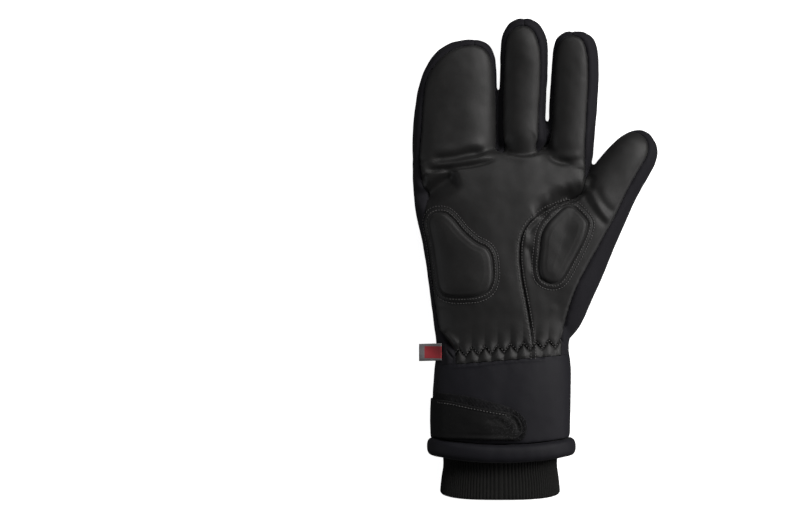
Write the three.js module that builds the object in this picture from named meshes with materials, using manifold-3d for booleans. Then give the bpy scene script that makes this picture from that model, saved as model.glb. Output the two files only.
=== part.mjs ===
// A winter cycling glove for the right hand, lying on its back with the palm up. The little and ring
// fingers share one wide compartment, and the middle finger, index finger and thumb have one each.
// Millimetres, +X towards the thumb, +Y towards the fingertips, +Z up out of the palm. At the end the
// glove is moved so that the origin lies on the floor under the middle of its bounding box.
import * as THREE from "three";
import { mergeVertices } from "three/addons/utils/BufferGeometryUtils.js";
import Module from "manifold-3d";

const wasm = await Module();
wasm.setup();

// Driving sizes of the whole glove.
const palmWidth = 108;
const gloveLength = 288;
const gloveThick = 50;
const wall = 3;
const seamGap = 0.3;

// Driving sizes of what lies on the panels.
const padHeight = 3.2;
const padBorder = 3.6;
const flangeThick = 1;
const hookThick = 1.2;
const strapThick = 1.9;
const labelThick = 1.1;

// Driving sizes of the wrist pleats.
const pleatCount = 9;
const pleatHeight = 1.5;

// Driving sizes of the rolled edge and the knitted cuff.
const rollProud = 3.6;
const rollLength = 14.4;
const knitInset = 5.4;
const knitWall = 2.4;
const ribCount = 60;
const ribDepth = 0.6;
const rimBow = 1.6;

// Every table below is in shares of the driving sizes: across is in 180ths of the palm's width, along
// in 480ths of the glove's length, and heights in 50ths of its thickness.
const acrossUnit = palmWidth / 180;
const alongUnit = gloveLength / 480;
const heightUnit = gloveThick / 50;

const gauntletEnd = -182;
const gatherTop = -80;
const hemLeft = { across: -95, along: -107 };
const hemRight = { across: 25, along: -97 };
const rollStart = gauntletEnd - seamGap / alongUnit;
const knitStart = -168;
const knitEnd = -241;

// The hand and gauntlet. Where low is below 0 the back is pressed flat on what it lies on.
const handRows = [
  { along: -182, left: -103, right: 34, low: 4.5, high: 45 },
  { along: -134, left: -103, right: 35, low: 4.5, high: 44 },
  { along: -107, left: -101, right: 35, low: 4.5, high: 41.5 },
  { along: -87, left: -99, right: 33, low: 4.5, high: 38.5 },
  { along: -67, left: -101.5, right: 36.5, low: 3, high: 38.5 },
  { along: -42, left: -105, right: 41.5, low: 0.5, high: 39.5 },
  { along: -12, left: -108.5, right: 47, low: -1, high: 39.5 },
  { along: 18, left: -114, right: 51, low: -1.2, high: 38.5 },
  { along: 46, left: -119.5, right: 53.5, low: -1.2, high: 36.8 },
  { along: 70, left: -122, right: 54.5, low: -1, high: 34.8 },
  { along: 88, left: -123, right: 55.5, low: -0.4, high: 32 },
  { along: 100, left: -122.4, right: 56.5, low: 0.8, high: 29 },
  { along: 106.5, left: -120, right: 54, low: 3.5, high: 25.5 },
  { along: 110, left: -115, right: 48, low: 8, high: 20 },
];

// The compartment of the little and ring fingers, from inside the hand to its tip.
const pairRows = [
  { along: 86, left: -119, right: -42, low: 5, high: 26 },
  { along: 98, left: -122.5, right: -38.6, low: 2, high: 28.5 },
  { along: 112, left: -123, right: -38, low: 1, high: 28.5 },
  { along: 136, left: -122, right: -38, low: 1, high: 28 },
  { along: 160, left: -119, right: -38.4, low: 1.5, high: 27.5 },
  { along: 176, left: -116, right: -39, low: 2.3, high: 27.5 },
  { along: 192, left: -110, right: -39.7, low: 3, high: 27 },
  { along: 204, left: -102, right: -41.7, low: 4.2, high: 26 },
  { along: 212, left: -92.5, right: -45.5, low: 5.7, high: 24.6 },
  { along: 217, left: -81, right: -51.5, low: 8, high: 22.6 },
  { along: 219.2, left: -70, right: -58, low: 11.5, high: 19 },
];

const middleRows = [
  { along: 86, left: -33, right: 9, low: 6, high: 25 },
  { along: 98, left: -35.5, right: 11.3, low: 2.5, high: 28.2 },
  { along: 112, left: -36.2, right: 11.3, low: 1, high: 28.7 },
  { along: 148, left: -36.2, right: 11.3, low: 1.5, high: 27.7 },
  { along: 184, left: -35.8, right: 11.2, low: 2.7, high: 27.7 },
  { along: 206, left: -35, right: 11.2, low: 4.2, high: 28 },
  { along: 220, left: -33.6, right: 9.6, low: 5.8, high: 27.5 },
  { along: 230, left: -30, right: 5, low: 7.8, high: 26 },
  { along: 236.5, left: -24.3, right: -0.7, low: 10.4, high: 24 },
  { along: 239.7, left: -18, right: -7, low: 14, high: 20.8 },
];

const indexRows = [
  { along: 86, left: 16.5, right: 54, low: 6, high: 25 },
  { along: 98, left: 14, right: 57, low: 2.5, high: 28 },
  { along: 112, left: 13, right: 58.3, low: 1, high: 28.5 },
  { along: 138, left: 13.5, right: 59.8, low: 1.3, high: 27.6 },
  { along: 160, left: 14.5, right: 61, low: 2, high: 27.2 },
  { along: 184, left: 16.3, right: 62, low: 3.2, high: 27.2 },
  { along: 202, left: 17.5, right: 61.3, low: 4.6, high: 26.8 },
  { along: 214, left: 19.7, right: 59, low: 6.5, high: 26 },
  { along: 221.5, left: 24, right: 54, low: 8.8, high: 24.4 },
  { along: 226.5, left: 31, right: 46.5, low: 12.5, high: 20.8 },
];

// The thumb along its own slanting axis. out is the way along it, shift moves it sideways.
const thumbRoot = { across: 12, along: -62 };
const thumbSlope = { across: 0.448, along: 0.894 };
const thumbRows = [
  { out: -18, shift: 0, half: 24, low: 8, high: 27 },
  { out: 3, shift: -0.5, half: 31, low: 3, high: 33 },
  { out: 38, shift: -2.3, half: 33.2, low: 0.5, high: 37 },
  { out: 67, shift: -3.6, half: 32.6, low: -0.5, high: 37 },
  { out: 96, shift: -4.6, half: 31, low: -0.6, high: 36 },
  { out: 124, shift: -4.2, half: 29.2, low: 0.6, high: 34.2 },
  { out: 152, shift: -2.4, half: 26.4, low: 2.4, high: 32 },
  { out: 174, shift: 0.6, half: 24.6, low: 4, high: 30.4 },
  { out: 190, shift: 2.9, half: 22.3, low: 6, high: 28.6 },
  { out: 202, shift: 4, half: 17.3, low: 8.5, high: 26 },
  { out: 210, shift: 3.8, half: 9.2, low: 13, high: 21.5 },
];

const hand = { rows: handRows, power: 2.35, sides: 28, innerSides: 14 };
const pair = { rows: pairRows, power: 2.4, sides: 22, innerSides: 10 };
const middle = { rows: middleRows, power: 2.25, sides: 16, innerSides: 10 };
const index = { rows: indexRows, power: 2.25, sides: 16, innerSides: 10 };
const thumb = { rows: thumbRows, power: 2.2, sides: 18, innerSides: 10 };
const fingers = [pair, middle, index];

// How far up the wall, in degrees above or below the middle plane, each panel's seam runs.
const handSeams = [
  { along: -182, left: 36, right: 22 },
  { along: -95, left: 40, right: 22 },
  { along: -40, left: 22, right: 30 },
  { along: 28, left: 24, right: 30 },
  { along: 60, left: 44, right: 34 },
  { along: 110, left: 45, right: 40 },
];
const frontSeams = new Map([
  [pair, { left: 45, right: 22 }],
  [middle, { left: 22, right: 40 }],
  [index, { left: 20, right: 42 }],
]);
const backSeams = new Map([
  [pair, { left: 10, right: 24 }],
  [middle, { left: 26, right: 26 }],
  [index, { left: 30, right: 26 }],
]);

// Edges of panels seen from the palm side.
const palmToThumbSeam = [
  { across: 53, along: 85 },
  { across: 45, along: 65 },
  { across: 35, along: 59 },
  { across: 7, along: 47 },
  { across: -8, along: 35 },
  { across: -15, along: 22 },
  { across: -17, along: 3 },
  { across: -15, along: -19 },
  { across: -8, along: -56 },
  { across: -4, along: -84 },
];
const thumbOuterSeam = [
  { across: 26, along: -84 },
  { across: 28, along: -61 },
  { across: 41.5, along: -24 },
  { across: 71, along: 25 },
  { across: 101, along: 82 },
  { across: 111, along: 100 },
  { across: 114, along: 114 },
  { across: 110, along: 124 },
];
const thumbInnerSide = [
  { across: 104, along: 136 },
  { across: 84, along: 158 },
  { across: 72, along: 148 },
  { across: 59, along: 104 },
];
const thumbBackSeam = [
  { across: 53, along: 85 },
  { across: 51, along: 23 },
  { across: 41.5, along: -24 },
  { across: 28, along: -61 },
  { across: 26, along: -92 },
  { across: 64, along: -92 },
  { across: 164, along: -72 },
  { across: 164, along: 168 },
  { across: 76, along: 158 },
  { across: 59, along: 104 },
];
const knuckleEdge = [
  { across: -42, along: 96 },
  { across: -39, along: 38 },
  { across: -34, along: -20 },
  { across: 37, along: -75 },
  { across: 48, along: -51 },
  { across: 62, along: 96 },
];
const pairGusset = [
  { across: -61, along: 258 },
  { across: -61, along: 168 },
  { across: -48, along: 91 },
  { across: -25, along: 91 },
  { across: -12.5, along: 168 },
  { across: -12.5, along: 258 },
];
const middleGusset = [
  { across: -10, along: 258 },
  { across: -10, along: 168 },
  { across: 2, along: 91 },
  { across: 23, along: 91 },
  { across: 36, along: 168 },
  { across: 36, along: 258 },
];
const indexGusset = [
  { across: 38, along: 258 },
  { across: 38, along: 168 },
  { across: 45, along: 90 },
  { across: 44, along: 70 },
  { across: 80, along: 70 },
  { across: 80, along: 258 },
];
const gussetLow = 6.4;
const gussetHigh = 24.2;
const thumbSeamHeight = 18.5;

// Outlines of the pads, the strap and the hook tape under it.
const heelPadEdge = [
  { across: -106, along: 40 },
  { across: -98, along: 45 },
  { across: -88, along: 43 },
  { across: -79, along: 33 },
  { across: -60, along: 15 },
  { across: -50, along: 9.5 },
  { across: -45, along: 0 },
  { across: -44, along: -19.5 },
  { across: -49, along: -32 },
  { across: -60, along: -38 },
  { across: -88, along: -38 },
  { across: -96, along: -30 },
  { across: -99, along: -11 },
  { across: -104, along: 22 },
];
const thumbPadEdge = [
  { across: 35, along: 53 },
  { across: 45, along: 43.5 },
  { across: 51, along: 34 },
  { across: 45, along: 15 },
  { across: 25, along: -21 },
  { across: 17, along: -25 },
  { across: 6, along: -22 },
  { across: 2.5, along: -8 },
  { across: 4, along: 19 },
  { across: 9, along: 32 },
  { across: 22, along: 45 },
];
const strapEdge = [
  { across: -102.5, along: -141.5 },
  { across: -85, along: -143 },
  { across: -44, along: -151 },
  { across: -28, along: -153.5 },
  { across: -19, along: -159 },
  { across: -15, along: -169 },
  { across: -19, along: -179 },
  { across: -102.5, along: -178.5 },
];
const hookEdge = [
  { across: -101, along: -138.5 },
  { across: -84, along: -140 },
  { across: -42, along: -148 },
  { across: -24, along: -150.5 },
  { across: -13, along: -157 },
  { across: -9, along: -168 },
  { across: -12, along: -180 },
  { across: -101, along: -180 },
];
const labelFar = -117;
const labelNear = -98.5;
const labelTop = -85;
const labelBottom = -102;

// A cross-section of a body, its outside moved out by grow (or in, where it is negative).
function sectionsOf(body, grow) {
  const { rows } = body;
  const last = rows.length - 1;
  return rows.map((row, i) => {
    const slanted = row.out !== undefined;
    const halfX = slanted ? row.half * acrossUnit : ((row.right - row.left) / 2) * acrossUnit;
    const halfZ = ((row.high - row.low) / 2) * heightUnit;
    const push = grow * (i / last);
    const centre = slanted ? thumbPoint(row) : new THREE.Vector3();
    if (!slanted) centre.set(((row.left + row.right) / 2) * acrossUnit, row.along * alongUnit, 0);
    centre.z = ((row.low + row.high) / 2) * heightUnit;
    const ahead = slanted ? thumbAhead() : new THREE.Vector3(0, 1, 0);
    centre.addScaledVector(ahead, push);
    const side = new THREE.Vector3(ahead.y, -ahead.x, 0);
    const seam = ((Math.max(row.low, 0) + row.high) / 2) * heightUnit;
    return {
      centre, side, seam,
      halfX: Math.max(halfX + grow, halfX * 0.25),
      halfZ: Math.max(halfZ + grow, halfZ * 0.25),
    };
  });
}

function thumbAhead() {
  const slope = new THREE.Vector3(thumbSlope.across * acrossUnit, thumbSlope.along * alongUnit, 0);
  return slope.normalize();
}

function thumbPoint(row) {
  const ahead = thumbAhead();
  const sideways = row.shift * acrossUnit;
  const x = (thumbRoot.across + row.out * thumbSlope.across) * acrossUnit + sideways * ahead.y;
  const y = (thumbRoot.along + row.out * thumbSlope.along) * alongUnit - sideways * ahead.x;
  return new THREE.Vector3(x, y, 0);
}

// A rounded ring across a body. Its lowest points are pressed flat on the floor.
function ringOf(section, sides, power, floor) {
  return Array.from({ length: sides }, (_, i) => {
    const turn = (2 * Math.PI * i) / sides;
    const [c, s] = [Math.cos(turn), Math.sin(turn)];
    const point = section.centre.clone();
    point.addScaledVector(section.side, section.halfX * Math.sign(c) * Math.abs(c) ** (2 / power));
    point.z += section.halfZ * Math.sign(s) * Math.abs(s) ** (2 / power);
    point.z = Math.max(point.z, floor);
    return point;
  });
}

// A closed body through rings of equal count. A hoop joins its last ring to its first.
function loft(rings, hoop = false) {
  const sides = rings[0].length;
  const points = rings.flat();
  const faces = [];
  const spans = hoop ? rings.length : rings.length - 1;
  for (let r = 0; r < spans; r++) {
    const next = (r + 1) % rings.length;
    for (let i = 0; i < sides; i++) {
      const j = (i + 1) % sides;
      faces.push(r * sides + i, r * sides + j, next * sides + j);
      faces.push(r * sides + i, next * sides + j, next * sides + i);
    }
  }
  if (!hoop) {
    for (const [r, last] of [[0, false], [rings.length - 1, true]]) {
      const flat = THREE.ShapeUtils.triangulateShape(rings[r].map(flatten(rings[r])), []);
      for (const [a, b, c] of flat) {
        faces.push(r * sides + a, r * sides + (last ? b : c), r * sides + (last ? c : b));
      }
    }
  }
  const geometry = new THREE.BufferGeometry().setFromPoints(points);
  geometry.setIndex(faces);
  return solidOf(geometry);
}

// The points of a flat ring in its own plane, for closing its end.
function flatten(ring) {
  const across = ring.reduce((best, p) => (p.distanceTo(ring[0]) > best.distanceTo(ring[0]) ? p : best));
  const first = across.clone().sub(ring[0]).normalize();
  const normal = new THREE.Vector3();
  ring.forEach((p, i) => normal.add(p.clone().sub(ring[0]).cross(ring[(i + 1) % ring.length].clone().sub(ring[0]))));
  const second = normal.normalize().clone().cross(first);
  return (p) => new THREE.Vector2(p.clone().sub(ring[0]).dot(first), p.clone().sub(ring[0]).dot(second));
}

// A three.js geometry as a solid that can be cut and joined.
function solidOf(geometry) {
  const bare = geometry.clone();
  bare.deleteAttribute("normal");
  bare.deleteAttribute("uv");
  const merged = mergeVertices(bare, 1e-4);
  const triVerts = new Uint32Array(merged.index.array);
  const mesh = { numProp: 3, vertProperties: merged.attributes.position.array, triVerts };
  const made = new wasm.Manifold(new wasm.Mesh(mesh));
  if (made.volume() > 0) return made;
  for (let i = 0; i < triVerts.length; i += 3) {
    [triVerts[i + 1], triVerts[i + 2]] = [triVerts[i + 2], triVerts[i + 1]];
  }
  return new wasm.Manifold(new wasm.Mesh(mesh));
}

function geometryOf(solid) {
  const mesh = solid.getMesh();
  const stride = mesh.numProp;
  const position = new Float32Array(mesh.numVert * 3);
  for (let i = 0; i < mesh.numVert; i++) {
    position.set(mesh.vertProperties.subarray(i * stride, i * stride + 3), i * 3);
  }
  const geometry = new THREE.BufferGeometry();
  geometry.setAttribute("position", new THREE.BufferAttribute(position, 3));
  geometry.setIndex(new THREE.BufferAttribute(new Uint32Array(mesh.triVerts), 1));
  return geometry;
}

// The largest body of a cut, with points that nearly meet brought together and without slivers.
function mainBody(solid) {
  const largest = (whole) => whole.decompose().reduce((best, b) => (b.volume() > best.volume() ? b : best));
  const merged = mergeVertices(geometryOf(largest(solid)), 0.02);
  const corners = merged.index.array;
  const kept = [];
  for (let i = 0; i < corners.length; i += 3) {
    const [a, b, c] = corners.subarray(i, i + 3);
    if (a !== b && b !== c && c !== a) kept.push(a, b, c);
  }
  merged.setIndex(kept);
  return largest(solidOf(merged));
}

// The closed body of the hand or a digit, moved out by grow.
function bodyOf(body, grow) {
  const inner = grow < 0;
  const sides = inner ? body.innerSides : body.sides;
  const last = body.rows.length - 1;
  const kept = (section, i) => !inner || i % 2 === 0 || i > last - 3;
  const sections = sectionsOf(body, grow).filter(kept);
  if (inner && body === hand) sections[0].centre.y -= rollLength;
  return loft(sections.map((section) => ringOf(section, sides, body.power, -grow)));
}

function gloveBody(grow) {
  return fingers.concat(thumb).reduce((all, body) => all.add(bodyOf(body, grow)), bodyOf(hand, grow));
}

// A value of the hand's table between its rows.
function between(rows, along, key) {
  const i = THREE.MathUtils.clamp(rows.findIndex((row) => row.along > along), 1, rows.length - 1);
  const [a, b] = [rows[i - 1], rows[i]];
  const share = THREE.MathUtils.clamp((along - a.along) / (b.along - a.along), 0, 1);
  return THREE.MathUtils.lerp(a[key], b[key], share);
}

function handSection(along, grow) {
  const [left, right, low, high] = ["left", "right", "low", "high"].map((key) => between(handRows, along, key));
  return {
    centre: new THREE.Vector3(((left + right) / 2) * acrossUnit, along * alongUnit, ((low + high) / 2) * heightUnit),
    side: new THREE.Vector3(1, 0, 0),
    halfX: ((right - left) / 2) * acrossUnit + grow,
    halfZ: ((high - low) / 2) * heightUnit + grow,
    seam: ((Math.max(low, 0) + high) / 2) * heightUnit,
  };
}

// How far a straight line from inside a section runs before it leaves its outside.
function wayOut(section, power, startX, c, s) {
  let [near, far] = [0, section.halfX + section.halfZ];
  for (let i = 0; i < 24; i++) {
    const t = (near + far) / 2;
    const x = Math.abs(startX - section.centre.x + t * c) / section.halfX;
    const z = Math.abs(section.seam - section.centre.z + t * s) / section.halfZ;
    if (x ** power + z ** power < 1) near = t;
    else far = t;
  }
  return near;
}

const farHeight = gloveThick * 1.6;
const tipTurn = [{ from: 1, share: 0.75 }, { from: 2, share: 0.4 }];

// A cutter that spreads like a fan from a body's middle plane. Its two sides cross the wall square
// on, so that a seam has clean edges wherever it runs. facing is 1 for the palm side, -1 for the back.
function fan(body, seams, facing, grow) {
  const sections = sectionsOf(body, 0).slice(0, body === hand ? undefined : -1);
  const rings = sections.map((section, i) => {
    const fromTip = sections.length - i;
    const turn = tipTurn.find((row) => body !== hand && row.from === fromTip);
    const lobe = Math.min(section.halfZ, section.halfX * 0.9);
    const end = (i === sections.length - 1) - (i === 0);
    const y = section.centre.y + end * grow;
    const arms = [-1, 1].map((sign) => {
      const key = sign < 0 ? "left" : "right";
      const plain = Array.isArray(seams) ? between(seams, y / alongUnit, key) : seams[key];
      const angle = THREE.MathUtils.degToRad(turn ? THREE.MathUtils.lerp(plain, 90, turn.share) : plain);
      const [c, s] = [Math.cos(angle), Math.sin(angle)];
      const start = section.centre.x + sign * (section.halfX - lobe);
      const reach = wayOut(section, body.power, start, sign * c, facing * s) + wall * 0.3;
      const x = start + sign * s * grow;
      const z = section.seam - facing * c * grow;
      const far = new THREE.Vector3(x + sign * c * reach, y, z + facing * s * reach);
      return [new THREE.Vector3(x, y, z), far, new THREE.Vector3(far.x, y, facing * farHeight)];
    });
    return [...arms[0], ...arms[1].reverse()];
  });
  return loft(rings);
}

// A straight prism over an outline, from one height to another, its outline moved out by grow.
function prism(edge, low, high, grow = 0) {
  const points = edge.map((p) => new THREE.Vector2(p.across * acrossUnit, p.along * alongUnit));
  const turning = THREE.ShapeUtils.isClockWise(points) ? 1 : -1;
  const moved = points.map((p, i) => {
    const back = p.clone().sub(points[(i + points.length - 1) % points.length]).normalize();
    const ahead = points[(i + 1) % points.length].clone().sub(p).normalize();
    const [a, b] = [back, ahead].map((d) => new THREE.Vector2(-d.y * turning, d.x * turning));
    const mitre = a.clone().add(b).normalize();
    return p.clone().addScaledVector(mitre, grow / Math.max(mitre.dot(a), 0.4));
  });
  const shape = new THREE.Shape(moved);
  const geometry = new THREE.ExtrudeGeometry(shape, { depth: high - low, bevelEnabled: false });
  geometry.translate(0, 0, low);
  return solidOf(geometry);
}

// Further out than any point of the glove, for regions that are open on a side.
const beyondSide = 200;
const beyondEnd = 300;

// Where the raised hem of the gauntlet runs across the wrist.
function hemAt(across) {
  const share = (across - hemLeft.across) / (hemRight.across - hemLeft.across);
  return THREE.MathUtils.lerp(hemLeft.along, hemRight.along, share);
}

const palmSlab = [
  { across: -beyondSide, along: gatherTop },
  { across: beyondSide, along: gatherTop },
  { across: beyondSide, along: beyondEnd },
  { across: -beyondSide, along: beyondEnd },
];
const gatherSlab = [
  { across: -beyondSide, along: hemAt(-beyondSide) },
  { across: beyondSide, along: hemAt(beyondSide) },
  { across: beyondSide, along: gatherTop },
  { across: -beyondSide, along: gatherTop },
];
const gauntletSlab = [
  { across: -beyondSide, along: -beyondEnd },
  { across: beyondSide, along: -beyondEnd },
  { across: beyondSide, along: hemAt(beyondSide) },
  { across: -beyondSide, along: hemAt(-beyondSide) },
];

// Zones of the glove, each moved out by grow so that its neighbour can keep clear of it.
const thumbFrontEdge = [...palmToThumbSeam, ...thumbOuterSeam, ...thumbInnerSide];

function all(solids) {
  return solids.reduce((sum, solid) => sum.add(solid));
}

const zones = {
  thumbFront: (grow) => {
    const low = thumbSeamHeight * heightUnit - grow;
    return prism(thumbFrontEdge, low, farHeight, grow).intersect(prism(palmSlab, 0, farHeight, grow));
  },
  thumbBack: (grow) => prism(thumbBackSeam, -gloveThick, farHeight, grow),
  fingerFronts: (grow) => all(fingers.map((body) => fan(body, frontSeams.get(body), 1, grow))),
  fingerBacks: (grow) => all(fingers.map((body) => fan(body, backSeams.get(body), -1, grow))),
  gusset: (edge, grow) => {
    const [low, high] = [gussetLow * heightUnit - grow, gussetHigh * heightUnit + grow];
    const block = prism(edge, low, high, grow);
    return block.subtract(zones.fingerFronts(seamGap - grow)).subtract(zones.fingerBacks(seamGap - grow));
  },
  handFront: (region, grow) => {
    return fan(hand, handSeams, 1, grow).intersect(prism(region, 0, farHeight, grow));
  },
  palm: (grow) => zones.handFront(palmSlab, grow).add(zones.fingerFronts(grow)),
  knuckles: (grow) => {
    const panel = prism(knuckleEdge, -gloveThick, farHeight / 4, grow).intersect(fan(hand, handSeams, -1, grow));
    return all([middle, index].map((body) => fan(body, backSeams.get(body), -1, grow))).add(panel);
  },
};

const outer = gloveBody(0);
const inner = gloveBody(-wall);
const shell = outer.subtract(inner);
const gussetEdges = [pairGusset, middleGusset, indexGusset];

function without(solid, ...cutters) {
  return cutters.reduce((rest, cutter) => rest.subtract(cutter), solid);
}

const thumbs = zones.thumbFront(seamGap).add(zones.thumbBack(seamGap));
const gussets = all(gussetEdges.map((edge) => zones.gusset(edge, seamGap)));
const fronts = zones.palm(seamGap);
const gatherZone = zones.handFront(gatherSlab, seamGap);
const gauntletZone = zones.handFront(gauntletSlab, seamGap);
const knuckleZone = zones.knuckles(seamGap);

const palmPanel = without(shell.intersect(zones.palm(0)), thumbs, gussets, gatherZone);
const thumbPanel = without(shell.intersect(zones.thumbFront(0)), gatherZone);
const thumbBack = without(shell.intersect(zones.thumbBack(0)), zones.thumbFront(seamGap));
const gussetParts = gussetEdges.map((edge) => without(shell.intersect(zones.gusset(edge, 0)), thumbs));
const gauntletFront = without(shell.intersect(zones.handFront(gauntletSlab, 0)), thumbs, gatherZone);
const knuckles = without(shell.intersect(zones.knuckles(0)), thumbs, gussets, fronts);
const backPanel = without(shell, thumbs, gussets, fronts, gatherZone, gauntletZone, knuckleZone);

// The wrist pleats: a band of the wall that rises and falls across the wrist.
function pleatedBand() {
  const steps = pleatCount * 3;
  const rows = [
    { along: gatherTop + 6, rise: 0.2 },
    { along: gatherTop - 8, rise: 1 },
    { along: gatherTop - 16, rise: 0.9 },
    { along: gatherTop - 34, rise: 0.5 },
  ];
  const [from, to] = [0.05 * Math.PI, 0.95 * Math.PI];
  const rings = rows.map((row) => {
    const at = (share, grow) => {
      const section = handSection(row.along, grow);
      const turn = THREE.MathUtils.lerp(from, to, share);
      const [c, s] = [Math.cos(turn), Math.sin(turn)];
      const x = section.halfX * Math.sign(c) * Math.abs(c) ** (2 / hand.power);
      const z = section.halfZ * s ** (2 / hand.power);
      return section.centre.clone().add(new THREE.Vector3(x, 0, z));
    };
    const outside = Array.from({ length: steps + 1 }, (_, i) => {
      const wave = i % 3 === 0 ? 0 : 1;
      return at(i / steps, pleatHeight * row.rise * (wave - 0.25));
    });
    const inside = Array.from({ length: pleatCount + 1 }, (_, i) => at(1 - i / pleatCount, -wall));
    return [...outside, ...inside];
  });
  return loft(rings);
}

const gatherCutter = zones.handFront(gatherSlab, 0);
const gathers = without(pleatedBand().intersect(gatherCutter), thumbs);

// A layer that lies over the outside of the glove, between two distances from it.
function layer(edge, from, thick, grow = 0) {
  const over = prism(edge, thumbSeamHeight * heightUnit, farHeight, grow);
  return over.intersect(palmSide(from + thick)).subtract(palmSide(from));
}

function palmSide(grow) {
  return bodyOf(hand, grow).add(bodyOf(thumb, grow));
}

function pad(edge) {
  return layer(edge, seamGap, flangeThick, padBorder).add(layer(edge, seamGap, padHeight));
}

const heelPad = pad(heelPadEdge);
const thumbPad = pad(thumbPadEdge);
const hook = layer(hookEdge, seamGap, hookThick);
const strap = layer(strapEdge, seamGap * 2 + hookThick, strapThick);

// The folded label, sewn into the side seam and standing out from the wrist.
function sideLabel() {
  const corners = (far, near) => [
    { across: far, along: labelBottom },
    { across: near, along: labelBottom },
    { across: near, along: labelTop },
    { across: far, along: labelTop },
  ];
  const seam = handSection((labelTop + labelBottom) / 2, 0).seam;
  const clear = palmSide(seamGap);
  const low = seam - labelThick / 2;
  const flap = prism(corners(labelFar, labelNear), low, low + labelThick).subtract(clear);
  const hug = prism(corners(labelFar, labelNear), low, farHeight);
  return flap.add(hug.intersect(palmSide(seamGap + labelThick)).subtract(clear));
}

// Loops round the cuff: the share turn runs round, and reach says how far out from the middle.
function cuffPoint(along, turn, insetX, insetZ, extra = 0) {
  const section = handSection(gauntletEnd, 0);
  const [c, s] = [Math.cos(turn), Math.sin(turn)];
  const x = (section.halfX - insetX + extra) * Math.sign(c) * Math.abs(c) ** (2 / hand.power);
  const z = (section.halfZ - insetZ + extra) * Math.sign(s) * Math.abs(s) ** (2 / hand.power);
  const bow = rimBow * (1 - Math.min(1, (x / section.halfX) ** 2));
  const y = along * alongUnit - bow * bowShare(along);
  return new THREE.Vector3(section.centre.x + x, y, section.centre.z + z);
}

function bowShare(along) {
  return THREE.MathUtils.clamp((gauntletEnd - along) / (gauntletEnd - knitEnd), 0, 1);
}

// The roll hugs the knitted cuff and is thick enough to lie on the floor.
function cuffRoll() {
  const gauntletLow = handRows[0].low * heightUnit;
  const stations = 32;
  const sides = 10;
  const middleAlong = rollStart - rollLength / alongUnit / 2;
  const insideInset = knitInset - seamGap;
  const rings = Array.from({ length: stations }, (_, i) => {
    const turn = (2 * Math.PI * i) / stations;
    return Array.from({ length: sides }, (_, k) => {
      const round = (2 * Math.PI * k) / sides;
      const [c, s] = [Math.cos(round), Math.sin(round)];
      const outward = 0.5 + 0.5 * Math.sign(c) * Math.abs(c) ** 0.7;
      const way = Math.sign(s) * Math.abs(s) ** 0.7;
      const insetX = THREE.MathUtils.lerp(insideInset, -rollProud, outward);
      const insetZ = THREE.MathUtils.lerp(insideInset, -gauntletLow, outward);
      const along = middleAlong + (way * rollLength) / alongUnit / 2;
      const point = cuffPoint(along, turn, insetX, insetZ);
      point.z = Math.max(point.z, 0);
      return point;
    });
  });
  return loft(rings, true);
}

function ribCuff() {
  const points = ribCount * 2;
  const rows = [
    { along: knitStart, depth: knitWall, flare: 0 },
    { along: knitStart, depth: 0, flare: 0 },
    { along: rollStart - rollLength / alongUnit, depth: 0, flare: 0 },
    { along: knitEnd, depth: 0, flare: ribDepth * 2 },
    { along: knitEnd, depth: knitWall, flare: ribDepth * 2 },
  ];
  const rings = rows.map((row) => {
    return Array.from({ length: points }, (_, i) => {
      const inset = knitInset + row.depth + (i % 2) * ribDepth;
      return cuffPoint(row.along, (2 * Math.PI * i) / points, inset, inset, row.flare);
    });
  });
  return loft(rings, true);
}

const finishes = {
  leather: { color: 0x2d2d2e, roughness: 0.62, metalness: 0 },
  softshell_black: { color: 0x15151a, roughness: 0.85, metalness: 0 },
  softshell_grey: { color: 0x474548, roughness: 0.9, metalness: 0 },
  neoprene: { color: 0x15171d, roughness: 0.8, metalness: 0 },
  strap_fabric: { color: 0x121213, roughness: 0.75, metalness: 0 },
  hook_tape: { color: 0x1d1d20, roughness: 0.95, metalness: 0 },
  rib_knit: { color: 0x0f0f0e, roughness: 0.95, metalness: 0 },
  label: { color: 0x8a2429, roughness: 0.8, metalness: 0 },
};

const pieces = [
  { name: "palm_panel", solid: palmPanel, finish: "leather" },
  { name: "thumb_panel", solid: thumbPanel, finish: "leather" },
  { name: "heel_pad", solid: heelPad, finish: "leather" },
  { name: "thumb_pad", solid: thumbPad, finish: "leather" },
  { name: "wrist_gathers", solid: gathers, finish: "leather" },
  { name: "back_panel", solid: backPanel, finish: "softshell_black" },
  { name: "back_panel_grey", solid: knuckles, finish: "softshell_grey" },
  { name: "finger_gusset_pair", solid: gussetParts[0], finish: "softshell_black" },
  { name: "finger_gusset_middle", solid: gussetParts[1], finish: "softshell_black" },
  { name: "index_gusset", solid: gussetParts[2], finish: "softshell_black" },
  { name: "thumb_back", solid: thumbBack, finish: "softshell_black" },
  { name: "gauntlet_front", solid: gauntletFront, finish: "neoprene" },
  { name: "strap_hook", solid: hook, finish: "hook_tape" },
  { name: "wrist_strap", solid: strap, finish: "strap_fabric" },
  { name: "cuff_roll", solid: cuffRoll(), finish: "neoprene" },
  { name: "rib_cuff", solid: ribCuff(), finish: "rib_knit" },
  { name: "side_label", solid: sideLabel(), finish: "label" },
];

const glove = new THREE.Group();
for (const { name, solid, finish } of pieces) {
  const mesh = new THREE.Mesh(geometryOf(mainBody(solid)), new THREE.MeshStandardMaterial(finishes[finish]));
  mesh.name = name;
  glove.add(mesh);
}

const box = new THREE.Box3().setFromObject(glove);
const middleOfBox = box.getCenter(new THREE.Vector3());
for (const mesh of glove.children) mesh.geometry.translate(-middleOfBox.x, -middleOfBox.y, -box.min.z);

export default glove;
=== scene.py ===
import math

import bmesh
import bpy
import numpy as np
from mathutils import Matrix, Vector, noise
from mathutils.bvhtree import BVHTree
from mathutils.kdtree import KDTree


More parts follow.
